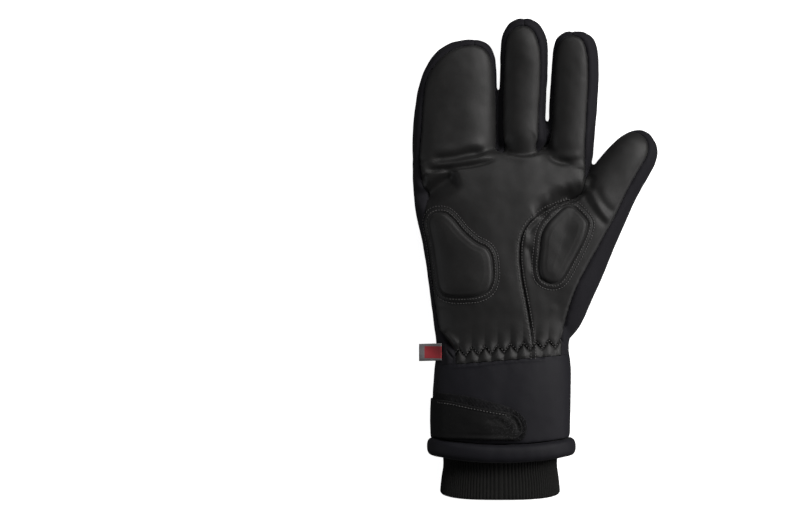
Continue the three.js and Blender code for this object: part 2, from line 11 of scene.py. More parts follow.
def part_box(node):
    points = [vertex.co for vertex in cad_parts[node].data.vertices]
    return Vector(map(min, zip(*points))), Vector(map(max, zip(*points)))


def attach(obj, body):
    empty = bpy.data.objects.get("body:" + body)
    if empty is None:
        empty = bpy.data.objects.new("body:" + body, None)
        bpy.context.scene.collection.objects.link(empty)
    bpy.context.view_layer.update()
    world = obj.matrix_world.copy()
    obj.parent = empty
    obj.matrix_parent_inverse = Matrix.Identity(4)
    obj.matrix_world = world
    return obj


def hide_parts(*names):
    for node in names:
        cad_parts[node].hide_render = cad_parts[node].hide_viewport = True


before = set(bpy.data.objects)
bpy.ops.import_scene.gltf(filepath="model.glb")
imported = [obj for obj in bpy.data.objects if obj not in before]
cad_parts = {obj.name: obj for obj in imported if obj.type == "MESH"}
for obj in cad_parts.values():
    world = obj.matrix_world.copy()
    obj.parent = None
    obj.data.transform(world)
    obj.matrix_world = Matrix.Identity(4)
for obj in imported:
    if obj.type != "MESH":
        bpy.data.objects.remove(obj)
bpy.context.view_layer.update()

# The glove was drafted in units of 0.6 mm, across from the middle of the palm and along from the
# wrist to the tips. The origin of the draft lies this far (m) from the roll's left and the knit's end.
draftUnit = 0.0006
draftOrigin = {"fromRoll": 0.0654, "fromKnit": 0.1462}
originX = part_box("cuff_roll")[0][0] + draftOrigin["fromRoll"]
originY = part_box("rib_cuff")[0][1] + draftOrigin["fromKnit"]
mm = 0.001
rng = np.random.default_rng(7)


def report(text):
    print("glove:", text, flush=True)


# the smooth outside of the whole glove

# along, left, right (draft units), low, high (mm)
skinShape = {
    "hand": {"power": 2.35, "rows": [
        (-182, -103, 34, 4.5, 45), (-158, -103.5, 34.5, 4.5, 45), (-134, -103, 35, 4.5, 44),
        (-107, -101, 35, 4.5, 41.5), (-87, -99, 33, 4.5, 38.5), (-67, -101.5, 36.5, 3, 38.5),
        (-42, -105, 41.5, 0.5, 39.5), (-12, -108.5, 47, -1, 39.5), (18, -114, 51, -1.2, 38.5),
        (46, -119.5, 53.5, -1.2, 36.8), (70, -122, 54.5, -1, 34.8), (88, -123, 55.5, -0.4, 32),
        (100, -122.4, 56.5, 0.8, 29), (106.5, -120, 54, 3.5, 25.5), (110, -115, 48, 8, 20)]},
    "pair": {"power": 2.4, "rows": [
        (86, -119, -42, 5, 26), (98, -122.5, -38.6, 2, 28.5), (112, -123, -38, 1, 28.5),
        (136, -122, -38, 1, 28), (160, -119, -38.4, 1.5, 27.5), (176, -116, -39, 2.3, 27.5),
        (192, -110, -39.7, 3, 27), (204, -102, -41.7, 4.2, 26), (212, -92.5, -45.5, 5.7, 24.6),
        (217, -81, -51.5, 8, 22.6), (219.2, -70, -58, 11.5, 19)]},
    "middle": {"power": 2.25, "rows": [
        (86, -33, 9, 6, 25), (98, -35.5, 11.3, 2.5, 28.2), (112, -36.2, 11.3, 1, 28.7),
        (126, -36, 12.6, 1.2, 28.3), (136, -35.9, 10.1, 1.3, 28), (148, -35.7, 10.0, 1.5, 27.7),
        (162, -35.4, 10.7, 1.9, 27.7), (184, -35, 11.9, 2.7, 27.7), (206, -34.8, 12.2, 4.2, 28),
        (220, -33.6, 11, 5.8, 27.5), (230, -30, 6.6, 7.8, 26), (237, -24.3, 0.6, 10.4, 24),
        (240.3, -18, -5.6, 14, 20.8)]},
    "index": {"power": 2.25, "rows": [
        (86, 16.5, 54, 6, 25), (98, 14, 57, 2.5, 28), (112, 13, 58.3, 1, 28.5),
        (126, 12, 59.6, 1.1, 28), (136, 13.8, 60.4, 1.3, 27.6), (148, 14.1, 61.4, 1.6, 27.4),
        (162, 14.9, 62.3, 2, 27.2), (184, 16.3, 63.4, 3.2, 27.2), (202, 17.5, 62.8, 4.6, 26.8),
        (214, 19.2, 60.8, 6.5, 26), (222.2, 23, 56, 8.8, 24.4), (227.3, 30.5, 47.5, 12.5, 20.8)]},
    # out, shift, half (draft units along and across the thumb), low, high (mm)
    "thumb": {"power": 2.2, "root": (12, -62), "slope": (0.448, 0.894), "rows": [
        (-18, 0, 24, 8, 27), (3, -0.5, 31, 3, 33), (38, -2.3, 33.2, 0.5, 37),
        (67, -3.6, 32.6, -0.5, 37), (96, -4.4, 31.2, -0.6, 36), (124, -3.7, 29.4, 0.6, 34.2),
        (152, -2.2, 26.9, 2.4, 32), (174, 0.8, 25.1, 4, 30.4), (190, 3.1, 22.8, 6, 28.6),
        (202, 4.2, 17.9, 8.5, 26), (209, 4.0, 11.4, 12, 22.5), (212.6, 3.8, 4.6, 15, 19.8)]},
    "step": 1.6,  # mm between rings
    "sides": 120,
    "grain": 1.0,  # mm, the remesh's cell
    "softening": 10,  # smoothing rounds over the joins
    "swelling": -0.51,  # as many rounds the other way, so that nothing shrinks
    "lastRounds": 3,
}


def smoothRows(rows, stepUnits):
    # a smooth curve through the rows, at even steps of the first column
    rows = np.array(rows, float)
    keys = rows[:, 0]
    count = max(4, int(round((keys[-1] - keys[0]) / stepUnits)))
    wanted = np.linspace(keys[0], keys[-1], count + 1)
    slopes = np.gradient(rows, keys, axis=0)
    out = []
    for key in wanted:
        i = min(max(np.searchsorted(keys, key) - 1, 0), len(keys) - 2)
        span = keys[i + 1] - keys[i]
        t = (key - keys[i]) / span
        a = (2 * t**3 - 3 * t**2 + 1) * rows[i] + (t**3 - 2 * t**2 + t) * span * slopes[i]
        b = (-2 * t**3 + 3 * t**2) * rows[i + 1] + (t**3 - t**2) * span * slopes[i + 1]
        row = a + b
        row[0] = key
        out.append(row)
    return np.array(out)


def superRing(turn, halfX, halfZ, power):
    # a superellipse's points at the given turns
    c, s = np.cos(turn), np.sin(turn)
    x = halfX * np.sign(c) * np.abs(c) ** (2 / power)
    z = halfZ * np.sign(s) * np.abs(s) ** (2 / power)
    return x, z


def ringPoints(centre, side, halfX, halfZ, power, sides):
    turn = np.linspace(0, 2 * math.pi, sides, endpoint=False)
    x, z = superRing(turn, halfX, halfZ, power)
    points = np.array(centre)[None, :] + x[:, None] * np.array([side[0], side[1], 0.0])[None, :]
    points[:, 2] = np.maximum(points[:, 2] + z, 0.0)
    return points


def loftFaces(ringCount, sides, hoop=False, caps=False):
    # quads between rings; a hoop's last ring meets its first, and caps close a tube's ends
    faces = []
    for r in range(ringCount if hoop else ringCount - 1):
        n = (r + 1) % ringCount
        for i in range(sides):
            j = (i + 1) % sides
            faces.append((r * sides + i, r * sides + j, n * sides + j, n * sides + i))
    if caps:
        last = (ringCount - 1) * sides
        faces.append(tuple(range(sides))[::-1])
        faces.append(tuple(range(last, last + sides)))
    return faces


def bodyMesh(part):
    shape = skinShape[part]
    rings = []
    for row in smoothRows(shape["rows"], skinShape["step"] * mm / draftUnit):
        low, high = row[3] * mm, row[4] * mm
        if part == "thumb":
            slope = np.array(shape["slope"]) / np.linalg.norm(shape["slope"])
            side = np.array([slope[1], -slope[0]])
            x, y = np.array(shape["root"]) + row[0] * slope + row[1] * side
            half = row[2] * draftUnit
        else:
            side = (1.0, 0.0)
            x, y = (row[1] + row[2]) / 2, row[0]
            half = (row[2] - row[1]) / 2 * draftUnit
        centre = (originX + x * draftUnit, originY + y * draftUnit, (low + high) / 2)
        rings.append(ringPoints(centre, side, half, (high - low) / 2, shape["power"], skinShape["sides"]))
    return np.concatenate(rings), loftFaces(len(rings), skinShape["sides"], caps=True)


def newMesh(name, verts, faces):
    mesh = bpy.data.meshes.new(name)
    corners = [tuple(int(i) for i in f) for f in faces]
    mesh.from_pydata([tuple(v) for v in np.asarray(verts, float)], [], corners)
    mesh.update()
    return mesh


def newPiece(name, verts, faces, smooth=True):
    mesh = newMesh(name, verts, faces)
    piece = bpy.data.objects.new(name, mesh)
    bpy.context.scene.collection.objects.link(piece)
    mesh.polygons.foreach_set("use_smooth", [smooth] * len(mesh.polygons))
    return piece


def applyModifiers(piece):
    depsgraph = bpy.context.evaluated_depsgraph_get()
    mesh = bpy.data.meshes.new_from_object(piece.evaluated_get(depsgraph))
    old = piece.data
    piece.modifiers.clear()
    piece.data = mesh
    bpy.data.meshes.remove(old)


def meshArrays(mesh):
    verts = np.empty(len(mesh.vertices) * 3)
    mesh.vertices.foreach_get("co", verts)
    faces = [tuple(p.vertices) for p in mesh.polygons]
    return verts.reshape(-1, 3), faces


def vertexNormals(verts, faces):
    quads = np.array([f if len(f) == 4 else (*f, f[-1]) for f in faces])
    a = verts[quads[:, 2]] - verts[quads[:, 0]]
    b = verts[quads[:, 3]] - verts[quads[:, 1]]
    flat = np.cross(a, b)
    normals = np.zeros_like(verts)
    for k in range(4):
        np.add.at(normals, quads[:, k], flat)
    return normals / np.maximum(np.linalg.norm(normals, axis=1, keepdims=True), 1e-12)


def edgeList(faces):
    edges = set()
    for f in faces:
        for a, b in zip(f, f[1:] + f[:1]):
            edges.add((a, b) if a < b else (b, a))
    return np.array(sorted(edges))


def openEdges(faces):
    # the edges with a face on one side only
    edges = {(a, b) for f in faces for a, b in zip(f, f[1:] + f[:1])}
    return [(a, b) for a, b in edges if (b, a) not in edges]


def shellPiece(name, outer, inner, faces):
    # a closed piece: its outside, the same points further in, and a wall round the rim
    count = len(outer)
    inside = [tuple(i + count for i in f[::-1]) for f in faces]
    rim = [(b, a, a + count, b + count) for a, b in openEdges(faces)]
    return newPiece(name, np.concatenate([outer, inner]), faces + inside + rim)


def pointTree(points):
    tree = KDTree(len(points))
    for i, point in enumerate(points):
        tree.insert(point, i)
    tree.balance()
    return tree


def surfaceTree(verts, faces):
    return BVHTree.FromPolygons([Vector(v) for v in verts], faces)


def relax(values, edges, rounds, factor=0.5, fixed=None):
    # moves each value towards the mean of its neighbours
    count = np.zeros(len(values))
    np.add.at(count, edges[:, 0], 1)
    np.add.at(count, edges[:, 1], 1)
    values = values.copy()
    shape = (-1, 1) if values.ndim == 2 else (-1,)
    for _ in range(rounds):
        total = np.zeros_like(values)
        np.add.at(total, edges[:, 0], values[edges[:, 1]])
        np.add.at(total, edges[:, 1], values[edges[:, 0]])
        step = factor * (total / np.maximum(count, 1).reshape(shape) - values)
        if fixed is not None:
            step[fixed] = 0
        values += step
    return values


def buildSkin():
    # all bodies in one mesh, melted together by a remesh and smoothed without shrinking
    allVerts, allFaces, start = [], [], 0
    for part in ("hand", "pair", "middle", "index", "thumb"):
        verts, faces = bodyMesh(part)
        allVerts.append(verts)
        allFaces += [tuple(i + start for i in f) for f in faces]
        start += len(verts)
    piece = newPiece("skinDraft", np.concatenate(allVerts), allFaces)
    remesh = piece.modifiers.new("remesh", "REMESH")
    remesh.mode = "VOXEL"
    remesh.voxel_size = skinShape["grain"] * mm
    applyModifiers(piece)
    verts, faces = meshArrays(piece.data)
    bpy.data.objects.remove(piece)
    edges = edgeList(faces)
    soft = relax(verts, edges, skinShape["softening"])
    soft = relax(soft, edges, skinShape["softening"], skinShape["swelling"])
    return relax(soft, edges, skinShape["lastRounds"]), faces, edges


skinVerts, skinFaces, skinEdges = buildSkin()
report("skin of %d faces" % len(skinFaces))


def curveThrough(points, count, closed=False):
    # Catmull-Rom through the points
    points = np.array(points, float)
    if closed:
        points = np.concatenate([points[-1:], points, points[:2]])
    else:
        before, after = 2 * points[:1] - points[1:2], 2 * points[-1:] - points[-2:-1]
        points = np.concatenate([before, points, after])
    spans = len(points) - 3
    out = []
    for k in np.linspace(0, spans, count, endpoint=not closed):
        i = min(int(k), spans - 1)
        t = k - i
        a, b, c, d = points[i:i + 4]
        place = 2 * b + (c - a) * t
        place = place + (2 * a - 5 * b + 4 * c - d) * t**2
        out.append(0.5 * (place + (3 * b - a - 3 * c + d) * t**3))
    return np.array(out)


def evenly(path, step, closed=False):
    # the same line with points at even distances
    if closed:
        path = np.concatenate([path, path[:1]])
    run = np.concatenate([[0], np.cumsum(np.linalg.norm(np.diff(path, axis=0), axis=1))])
    count = max(3, int(round(run[-1] / step)))
    wanted = np.linspace(0, run[-1], count, endpoint=not closed)
    return np.stack([np.interp(wanted, run, path[:, k]) for k in range(path.shape[1])], axis=1)


def alongLine(points, line):
    # distance to a line, side of it (+ on its left) and share of the way along it
    a, b = line[:-1], line[1:]
    length = np.linalg.norm(b - a, axis=1)
    start = np.concatenate([[0], np.cumsum(length)[:-1]])
    best = np.full(len(points), 1e9)
    side = np.zeros(len(points))
    share = np.zeros(len(points))
    for i in range(len(a)):
        way = (b[i] - a[i]) / max(length[i], 1e-12)
        off = points - a[i]
        t = np.clip(off @ way, 0, length[i])
        gap = np.linalg.norm(off - t[:, None] * way, axis=1)
        closer = gap < best
        best[closer] = gap[closer]
        side[closer] = np.sign(way[0] * off[closer, 1] - way[1] * off[closer, 0])
        share[closer] = (start[i] + t[closer]) / length.sum()
    return best, side, share


def smoothStep(value, low, high):
    t = np.clip((value - low) / (high - low), 0, 1)
    return t * t * (3 - 2 * t)


def nearness(gap, width):
    # 1 on a line, falling off over its width
    return np.exp(-((gap / width) ** 2))


def fadedEnds(share, fade):
    # 1 along a line, falling to 0 at both of its ends
    return smoothStep(share, 0, fade) * smoothStep(1 - share, 0, fade)


# folds, dents and gathers

# depth and width in mm (a negative depth stands proud), path in draft units;
# far is the width on the left of the path, and lip raises that side
foldShapes = {
    "knuckleCrease": {"depth": 1.9, "width": 1.3, "lip": 0.4,
        "path": [(-112, 87), (-96, 89), (-80, 90.7), (-60, 93.6), (-38, 99)]},
    "knuckleRidge": {"depth": -1.4, "width": 2.3,
        "path": [(-114, 93), (-96, 94.5), (-80, 96.2), (-60, 99.3), (-42, 104)]},
    "upperCrease": {"depth": 2.1, "width": 2.8,
        "path": [(-108, 98), (-92, 99.5), (-80, 101), (-66, 104), (-48, 105.5)]},
    "pairRidge": {"depth": -0.8, "width": 3.0,
        "path": [(-104, 105), (-84, 108.5), (-66, 113), (-46, 113)]},
    "edgeCurl": {"depth": 1.4, "width": 1.8, "path": [(-117, 99), (-116.5, 88), (-114, 78), (-110, 71)]},
    "edgeBulge": {"depth": -1.7, "width": 2.8, "path": [(-114, 98), (-112, 90), (-110, 81)]},
    "palmDent": {"depth": 5.8, "width": 3.2, "far": 7.5,
        "path": [(-78, 86), (-88, 81.5), (-98, 75), (-109, 67), (-122, 58)]},
    "palmDentRim": {"depth": -0.8, "width": 4.0, "path": [(-112, 50), (-98, 53), (-84, 60), (-72, 70)]},
    "middleRoot": {"depth": 3.3, "width": 0.9, "far": 7.2,
                   "path": [(-42, 113), (-34, 107.5), (-24, 104.5), (-12, 103), (0, 105), (9, 110),
                   (14, 116)]},
    "middleRootEdge": {"depth": -0.7, "width": 2.2,
        "path": [(-40, 108), (-33, 103), (-23, 100.5), (-12, 99), (0, 101), (9, 106)]},
    "indexRootFold": {"depth": 1.3, "width": 2.0,
        "path": [(8, 113), (12.5, 105), (18, 98.5), (28, 95.5), (38, 97)]},
    "indexRootRidge": {"depth": -0.6, "width": 2.4,
        "path": [(17, 108), (24, 102.5), (34, 101.5), (46, 103)]},
    "indexRise": {"depth": -2.1, "width": 3.0, "far": 11.0,
        "path": [(40, 58), (44, 70), (46, 84), (45, 100)]},
    "padValley": {"depth": 4.8, "width": 1.8, "far": 5.5,
        "path": [(-2, 41), (5, 45.5), (14, 51), (24, 55), (34, 59), (44, 65), (52, 74)]},
    "padHollow": {"depth": 1.4, "width": 4.0, "path": [(10, 58), (20, 61), (30, 65), (38, 72)]},
    "thumbFold": {"depth": 0.7, "width": 2.2, "path": [(46, 70), (50, 60), (58, 47), (66, 37), (74, 30)]},
    "thumbFoldRidge": {"depth": -0.6, "width": 2.4,
        "path": [(50, 72), (56, 61), (62, 50), (70, 40), (78, 33)]},
    "thumbBackFold": {"depth": 0.5, "width": 2.2, "path": [(60, 74), (63, 62), (70, 51), (80, 43)]},
    "thumbCrotch": {"depth": 0.9, "width": 2.4, "path": [(58, 84), (54, 75), (54, 66)]},
    "crescentDent": {"depth": 1.5, "width": 1.8, "path": [(-10, 21), (-4, 31), (6, 40), (14, 45)]},
    "crescentRidge": {"depth": -1.0, "width": 2.2, "path": [(-13, 10), (-10, 26), (-3, 37), (6, 45)]},
    "crescentLow": {"depth": 0.9, "width": 1.8, "path": [(-9, 14), (-6, 2), (-4, -8), (-1, -16)]},
    "padShadow": {"depth": 0.7, "width": 3.0, "path": [(-104, -46), (-80, -47), (-60, -45)]},
    "wristFold": {"depth": 1.5, "width": 1.7, "lip": 0.5,
        "path": [(-98, -72), (-91, -82), (-81, -93), (-77, -99)]},
    "wristRidge": {"depth": -0.8, "width": 1.8, "path": [(-92, -72), (-84, -80), (-76, -88)]},
    "thumbWristRidge": {"depth": -0.5, "width": 2.6,
        "path": [(1, -80), (7, -71), (12, -63), (17, -53), (20, -44)]},
    "gauntletHem": {"depth": -0.5, "width": 1.1,
        "path": [(-97, -110), (-60, -107), (-30, -103.5), (25, -100.5)]},
}

# the teeth of the wrist elastic, in draft units
pleatShape = {
    "first": -77.0,
    "pitch": 12.75,
    "apexLeft": -91.0,  # at first
    "last": 20.0,
    "apexRight": -82.0,  # at last
    "amplitude": 7.5,
    "tooth": 1.0,  # mm
    "fold": 1.1,  # mm, of the folds above the elastic
    "fade": 8.0,
    "groove": 0.9,  # mm, along the zigzag seam
    "grooveWidth": 0.55,  # mm
    "hem": -110,  # where the teeth end below, at hemLeft
    "hemFade": 5,
    "hemLeft": -95,
    "hemSlope": 0.083,
    "left": -90,
    "right": 30,
    "bottom": -112,
    "top": -64,
    "foldTop": -40,
    "fineLeft": -104,  # the finer cells lie between these two
    "fineRight": 38,
    "fineAbove": 21,  # mm
}


def toDraft(points):
    return np.stack([(points[:, 0] - originX) / draftUnit, (points[:, 1] - originY) / draftUnit], axis=1)


def elasticLine(u):
    # the heights of the zigzag's tips and of the zigzag at u, and the way from the tooth's middle (0 to 1)
    shape = pleatShape
    share = (u - shape["first"]) / (shape["last"] - shape["first"])
    apex = shape["apexLeft"] + (shape["apexRight"] - shape["apexLeft"]) * share
    phase = (u - shape["first"]) / shape["pitch"]
    away = np.abs(phase - np.round(phase)) * 2
    return apex, apex - shape["amplitude"] * away, away


def refineWrist(verts, faces):
    # finer cells where the wrist is gathered
    shape = pleatShape
    mesh = newMesh("wristDraft", verts, faces)
    work = bmesh.new()
    work.from_mesh(mesh)
    bpy.data.meshes.remove(mesh)
    work.verts.index_update()
    places = np.array([v.co for v in work.verts])
    flat = toDraft(places)
    inside = (flat[:, 1] > shape["bottom"]) & (flat[:, 1] < shape["top"])
    inside &= (flat[:, 0] > shape["fineLeft"]) & (flat[:, 0] < shape["fineRight"])
    inside &= places[:, 2] > shape["fineAbove"] * mm
    chosen = [edge for edge in work.edges if all(inside[vert.index] for vert in edge.verts)]
    bmesh.ops.subdivide_edges(work, edges=chosen, cuts=2, use_grid_fill=True)
    bmesh.ops.triangulate(work, faces=[f for f in work.faces if len(f.verts) > 4])
    work.verts.index_update()
    out = np.array([v.co for v in work.verts])
    outFaces = [tuple(v.index for v in f.verts) for f in work.faces]
    work.free()
    return out, outFaces


def foldDepth(flat, facing):
    # how far each point moves in (mm)
    total = np.zeros(len(flat))
    for shape in foldShapes.values():
        gap, side, share = alongLine(flat, curveThrough(shape["path"], 24))
        gap = gap * draftUnit / mm
        ends = fadedEnds(share, 0.22)
        reach = np.where(side > 0, shape.get("far", shape["width"]), shape["width"])
        total += shape["depth"] * nearness(gap, reach) * ends
        if "lip" in shape:
            reach = gap / (shape["width"] * 1.6)
            total -= shape["lip"] * np.where(side > 0, reach * np.exp(0.5 - reach**2 / 2), 0) * ends
    return total * facing


def pleatHeight(flat, facing):
    # the teeth below the zigzag seam, the folds above it and the groove along it (mm)
    shape = pleatShape
    u, v = flat[:, 0], flat[:, 1]
    apex, zig, away = elasticLine(u)
    ends = smoothStep(u, shape["left"] - 3, shape["left"] + 4)
    ends *= 1 - smoothStep(u, shape["right"] - 6, shape["right"])
    wide = np.clip((apex - v) / shape["amplitude"], 0.001, 1)
    below = np.cos(np.clip(away / wide, 0, 1) * math.pi / 2) ** 1.3
    below *= shape["tooth"] * (0.65 + 0.35 * smoothStep(-v, 84, 98))
    hemLift = (u - shape["hemLeft"]) * shape["hemSlope"]
    hem = smoothStep(v, shape["hem"] + hemLift, shape["hem"] + shape["hemFade"] + hemLift)
    above = np.cos(np.clip(1 - away, 0, 1) * math.pi / 2) ** 1.1 - 0.5
    above *= shape["fold"] * np.exp(-np.maximum(v - apex, 0) / shape["fade"])
    lift = np.where(v < zig, below * hem, above)
    slope = math.cos(math.atan(2 * shape["amplitude"] / shape["pitch"]))
    seamGap = np.abs(v - zig) * slope * draftUnit / mm
    groove = shape["groove"] * nearness(seamGap, shape["grooveWidth"])
    inside = (v > shape["bottom"]) & (v < shape["foldTop"])
    return np.where(inside, (lift - groove) * ends * facing, 0)


def softNoise(verts, scale, seed):
    off = Vector((seed * 13.7, seed * 5.1, seed * 9.3))
    return np.array([noise.noise(Vector(p) * scale + off) for p in verts])


# panels

panelLooks = {
    "palm_panel": "leather", "thumb_panel": "leather", "wrist_gathers": "leather",
    "back_panel": "softshell_black",
    "back_panel_grey": "softshell_grey", "finger_gusset_pair": "softshell_black",
    "finger_gusset_middle": "softshell_black",
    "index_gusset": "softshell_black", "thumb_back": "softshell_black", "gauntlet_front": "neoprene",
}
panelShape = {
    "seamDepth": 0.95,  # mm
    "seamWidth": 1.15,  # mm
    "gatheredSeamDepth": 0.35,  # mm, at the wrist
    "clothSeamDepth": 0.12,  # mm
    "clothSeamWidth": 0.8,  # mm
    "puff": 0.35,  # mm
    "puffWidth": 5.0,  # mm
    "pucker": 0.28,  # mm, small ripples beside the seams
    "puckerWidth": 2.2,  # mm
    "slack": 0.45,  # mm, broad waves away from the seams
    "creasing": 0.16,  # mm, finer waves
    "gap": 0.16,  # mm each side
    "clothGap": 0.03,  # mm each side
    "seamRounds": 26,
    "wallThick": 2.3,  # mm
}

# what lies inside these outlines on the palm side belongs to the panel, in draft units
frontOutlines = {
    "palm_panel": [
        (-91, -81), (-97.8, -71), (-100.3, -57.7), (-102.8, -41), (-104.7, -21), (-106.5, -3),
        (-108.6, 17), (-110.5, 32), (-111.3, 46), (-112.5, 60), (-115.4, 75), (-117.3, 88),
        (-117.4, 105), (-115.4, 125), (-114.6, 142), (-112.4, 168), (-109, 183), (-102.6, 193.5),
        (-93.2, 203.4), (-83, 210), (-73, 213.2), (-61.3, 214), (-52, 211.8), (-46.2, 205.7),
        (-43, 198), (-40.6, 185), (-39.3, 165), (-38.8, 140), (-38.8, 112), (-37, 104), (-33.6, 112),
        (-33.7, 132), (-33.2, 170), (-32.4, 195), (-31.2, 214), (-29.6, 222), (-26.3, 228),
        (-20, 232.2), (-12.4, 234), (-5.8, 232.4), (-0.6, 226.6), (2.9, 218), (5.5, 208), (6.2, 193),
        (5.6, 178), (5, 160), (4.4, 145), (3.2, 128), (2.6, 114), (6, 107), (13, 114), (15.6, 132),
        (16.4, 155), (17.4, 178), (19, 202), (21.4, 213.5), (24.2, 219.2), (29, 223.2), (36.5, 224.6),
        (43, 223), (47.6, 219), (50.4, 213), (52.6, 201.6), (53.4, 185), (52.8, 168), (51.8, 148),
        (51.2, 132), (50.3, 110), (49.4, 92), (50.6, 80), (46, 66), (35, 59), (22, 54), (7, 47),
        (-8, 35), (-15, 22), (-17, 3), (-15, -19), (-11, -40), (-8, -56), (-4, -84), (-3.5, -99),
        (-80, -105.5), (-81, -93)],
    "thumb_panel": [
        (-3.5, -99), (-4, -84), (-8, -56), (-11, -40), (-15, -19), (-17, 3), (-15, 22), (-8, 35),
        (7, 47), (22, 54), (35, 59), (46, 66), (50.6, 80), (56, 92), (70, 140), (92, 140), (99, 127),
        (104.5, 126), (109.5, 122.5), (112.8, 118), (114.3, 111.5), (111.6, 101.5), (101.6, 85),
        (91.4, 66.7), (81.4, 45), (73, 30), (64.7, 15.3), (51.6, -8), (41.7, -26), (35, -43), (31, -58),
        (26.5, -76), (25, -84), (24.4, -97)],
    "gauntlet_front": [(-98.4, -107.3), (-98.6, -140), (-98.4, -200), (40, -200), (40, -95.8),
        (25, -97), (-95, -107)],
}


# where the gathers are looked for, with their hem and the seam of palm and thumb, in draft units
wristBand = {
    "left": -80,
    "right": 24.4,
    "top": -80,
    "hem": ([-95, 25], [-107, -97]),  # across, along
    "seam": ([-107, -84, -56], [-3.5, -4, -8]),  # along, across
}


def insideOutline(flat, outline):
    inside = np.zeros(len(flat), bool)
    corners = np.array(outline, float)
    for (ax, ay), (bx, by) in zip(corners, np.roll(corners, -1, axis=0)):
        if ay == by:
            continue
        crosses = (flat[:, 1] > min(ay, by)) & (flat[:, 1] <= max(ay, by))
        where = ax + (flat[:, 1] - ay) * (bx - ax) / (by - ay)
        inside ^= crosses & (flat[:, 0] < where)
    return inside


def nodeTree(name):
    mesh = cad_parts[name].data
    return surfaceTree([v.co for v in mesh.vertices], [tuple(p.vertices) for p in mesh.polygons])


def faceCentres(verts, faces):
    return np.array([verts[list(f)].mean(axis=0) for f in faces])


def facePairs(faces):
    # neighbouring faces and the edge between them
    owner = {}
    pairs, between = [], []
    for i, f in enumerate(faces):
        for a, b in zip(f, f[1:] + f[:1]):
            key = (a, b) if a < b else (b, a)
            if key in owner:
                pairs.append((owner[key], i))
                between.append(key)
            else:
                owner[key] = i
    return np.array(pairs), np.array(between)


def nearestNodes(centres, names):
    # how far each face lies from each CAD panel (m), or 1 where it is out of reach
    margin, reach = 4 * mm, 12 * mm
    gaps = np.full((len(centres), len(names)), 1.0)
    for k, name in enumerate(names):
        tree = nodeTree(name)
        low, high = (np.array(corner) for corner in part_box(name))
        near = np.all((centres > low - margin) & (centres < high + margin), axis=1)
        for i in np.nonzero(near)[0]:
            found = tree.find_nearest(centres[i], reach)
            if found[3] is not None:
                gaps[i, k] = found[3]
    return gaps


def labelFaces(verts, faces, normals):
    # the number of the panel that each face belongs to
    names = list(panelLooks)
    centres = faceCentres(verts, faces)
    gaps = nearestNodes(centres, names)
    # seen from the palm side, the leather and the gauntlet's front end at their outlines
    flat = toDraft(centres)
    turned = np.array([normals[list(f), 2].mean() for f in faces])
    front = (turned > 0.02) & (centres[:, 2] > 14 * mm)
    for name, outline in frontOutlines.items():
        inside = front & insideOutline(flat, outline)
        gaps[:, names.index(name)] = np.where(inside, -1.0, 1.0)
    band = wristBand
    hem = np.interp(flat[:, 0], *band["hem"])
    inBand = front & (flat[:, 0] > band["left"]) & (flat[:, 0] < band["right"])
    inBand &= (flat[:, 1] > hem) & (flat[:, 1] < band["top"])
    gathers, palm, thumb = (names.index(name) for name in ("wrist_gathers", "palm_panel", "thumb_panel"))
    gaps[:, gathers] = np.where(inBand, -2.0, 1.0)
    labels = np.argmin(gaps, axis=1)

    # above the zigzag the leather belongs to the palm and the thumb
    _, zig, _ = elasticLine(flat[:, 0])
    seam = np.interp(flat[:, 1], *band["seam"])
    above = (labels == gathers) & (flat[:, 1] > zig)
    labels[above & (flat[:, 0] < seam)] = palm
    labels[above & (flat[:, 0] >= seam)] = thumb

    pairs, between = facePairs(faces)
    for _ in range(5):
        votes = np.zeros((len(faces), len(names)))
        votes[np.arange(len(faces)), labels] = 1.4
        np.add.at(votes, (pairs[:, 0], labels[pairs[:, 1]]), 1)
        np.add.at(votes, (pairs[:, 1], labels[pairs[:, 0]]), 1)
        labels = np.argmax(votes, axis=1)
    return largestIslands(labels, pairs, len(names)), pairs, between


def findIslands(labels, neighbours):
    # the groups of faces that share a label and hang together
    seen = np.zeros(len(labels), bool)
    islands = []
    for start in range(len(labels)):
        if seen[start]:
            continue
        todo, found = [start], []
        seen[start] = True
        while todo:
            f = todo.pop()
            found.append(f)
            for g in neighbours[f]:
                if not seen[g] and labels[g] == labels[start]:
                    seen[g] = True
                    todo.append(g)
        islands.append(found)
    return islands


def largestIslands(labels, pairs, count):
    # every label keeps its largest island, and the rest goes to its neighbours
    neighbours = [[] for _ in labels]
    for a, b in pairs:
        neighbours[a].append(b)
        neighbours[b].append(a)
    labels = labels.copy()
    for _ in range(3):
        islands = findIslands(labels, neighbours)
        best = {}
        for found in islands:
            label = labels[found[0]]
            if label not in best or len(found) > len(best[label]):
                best[label] = found
        changed = False
        for found in islands:
            label = labels[found[0]]
            if found is best[label]:
                continue
            around = [labels[g] for f in found for g in neighbours[f] if labels[g] != label]
            if around:
                labels[found] = np.argmax(np.bincount(around, minlength=count))
                changed = True
        if not changed:
            break
    return labels


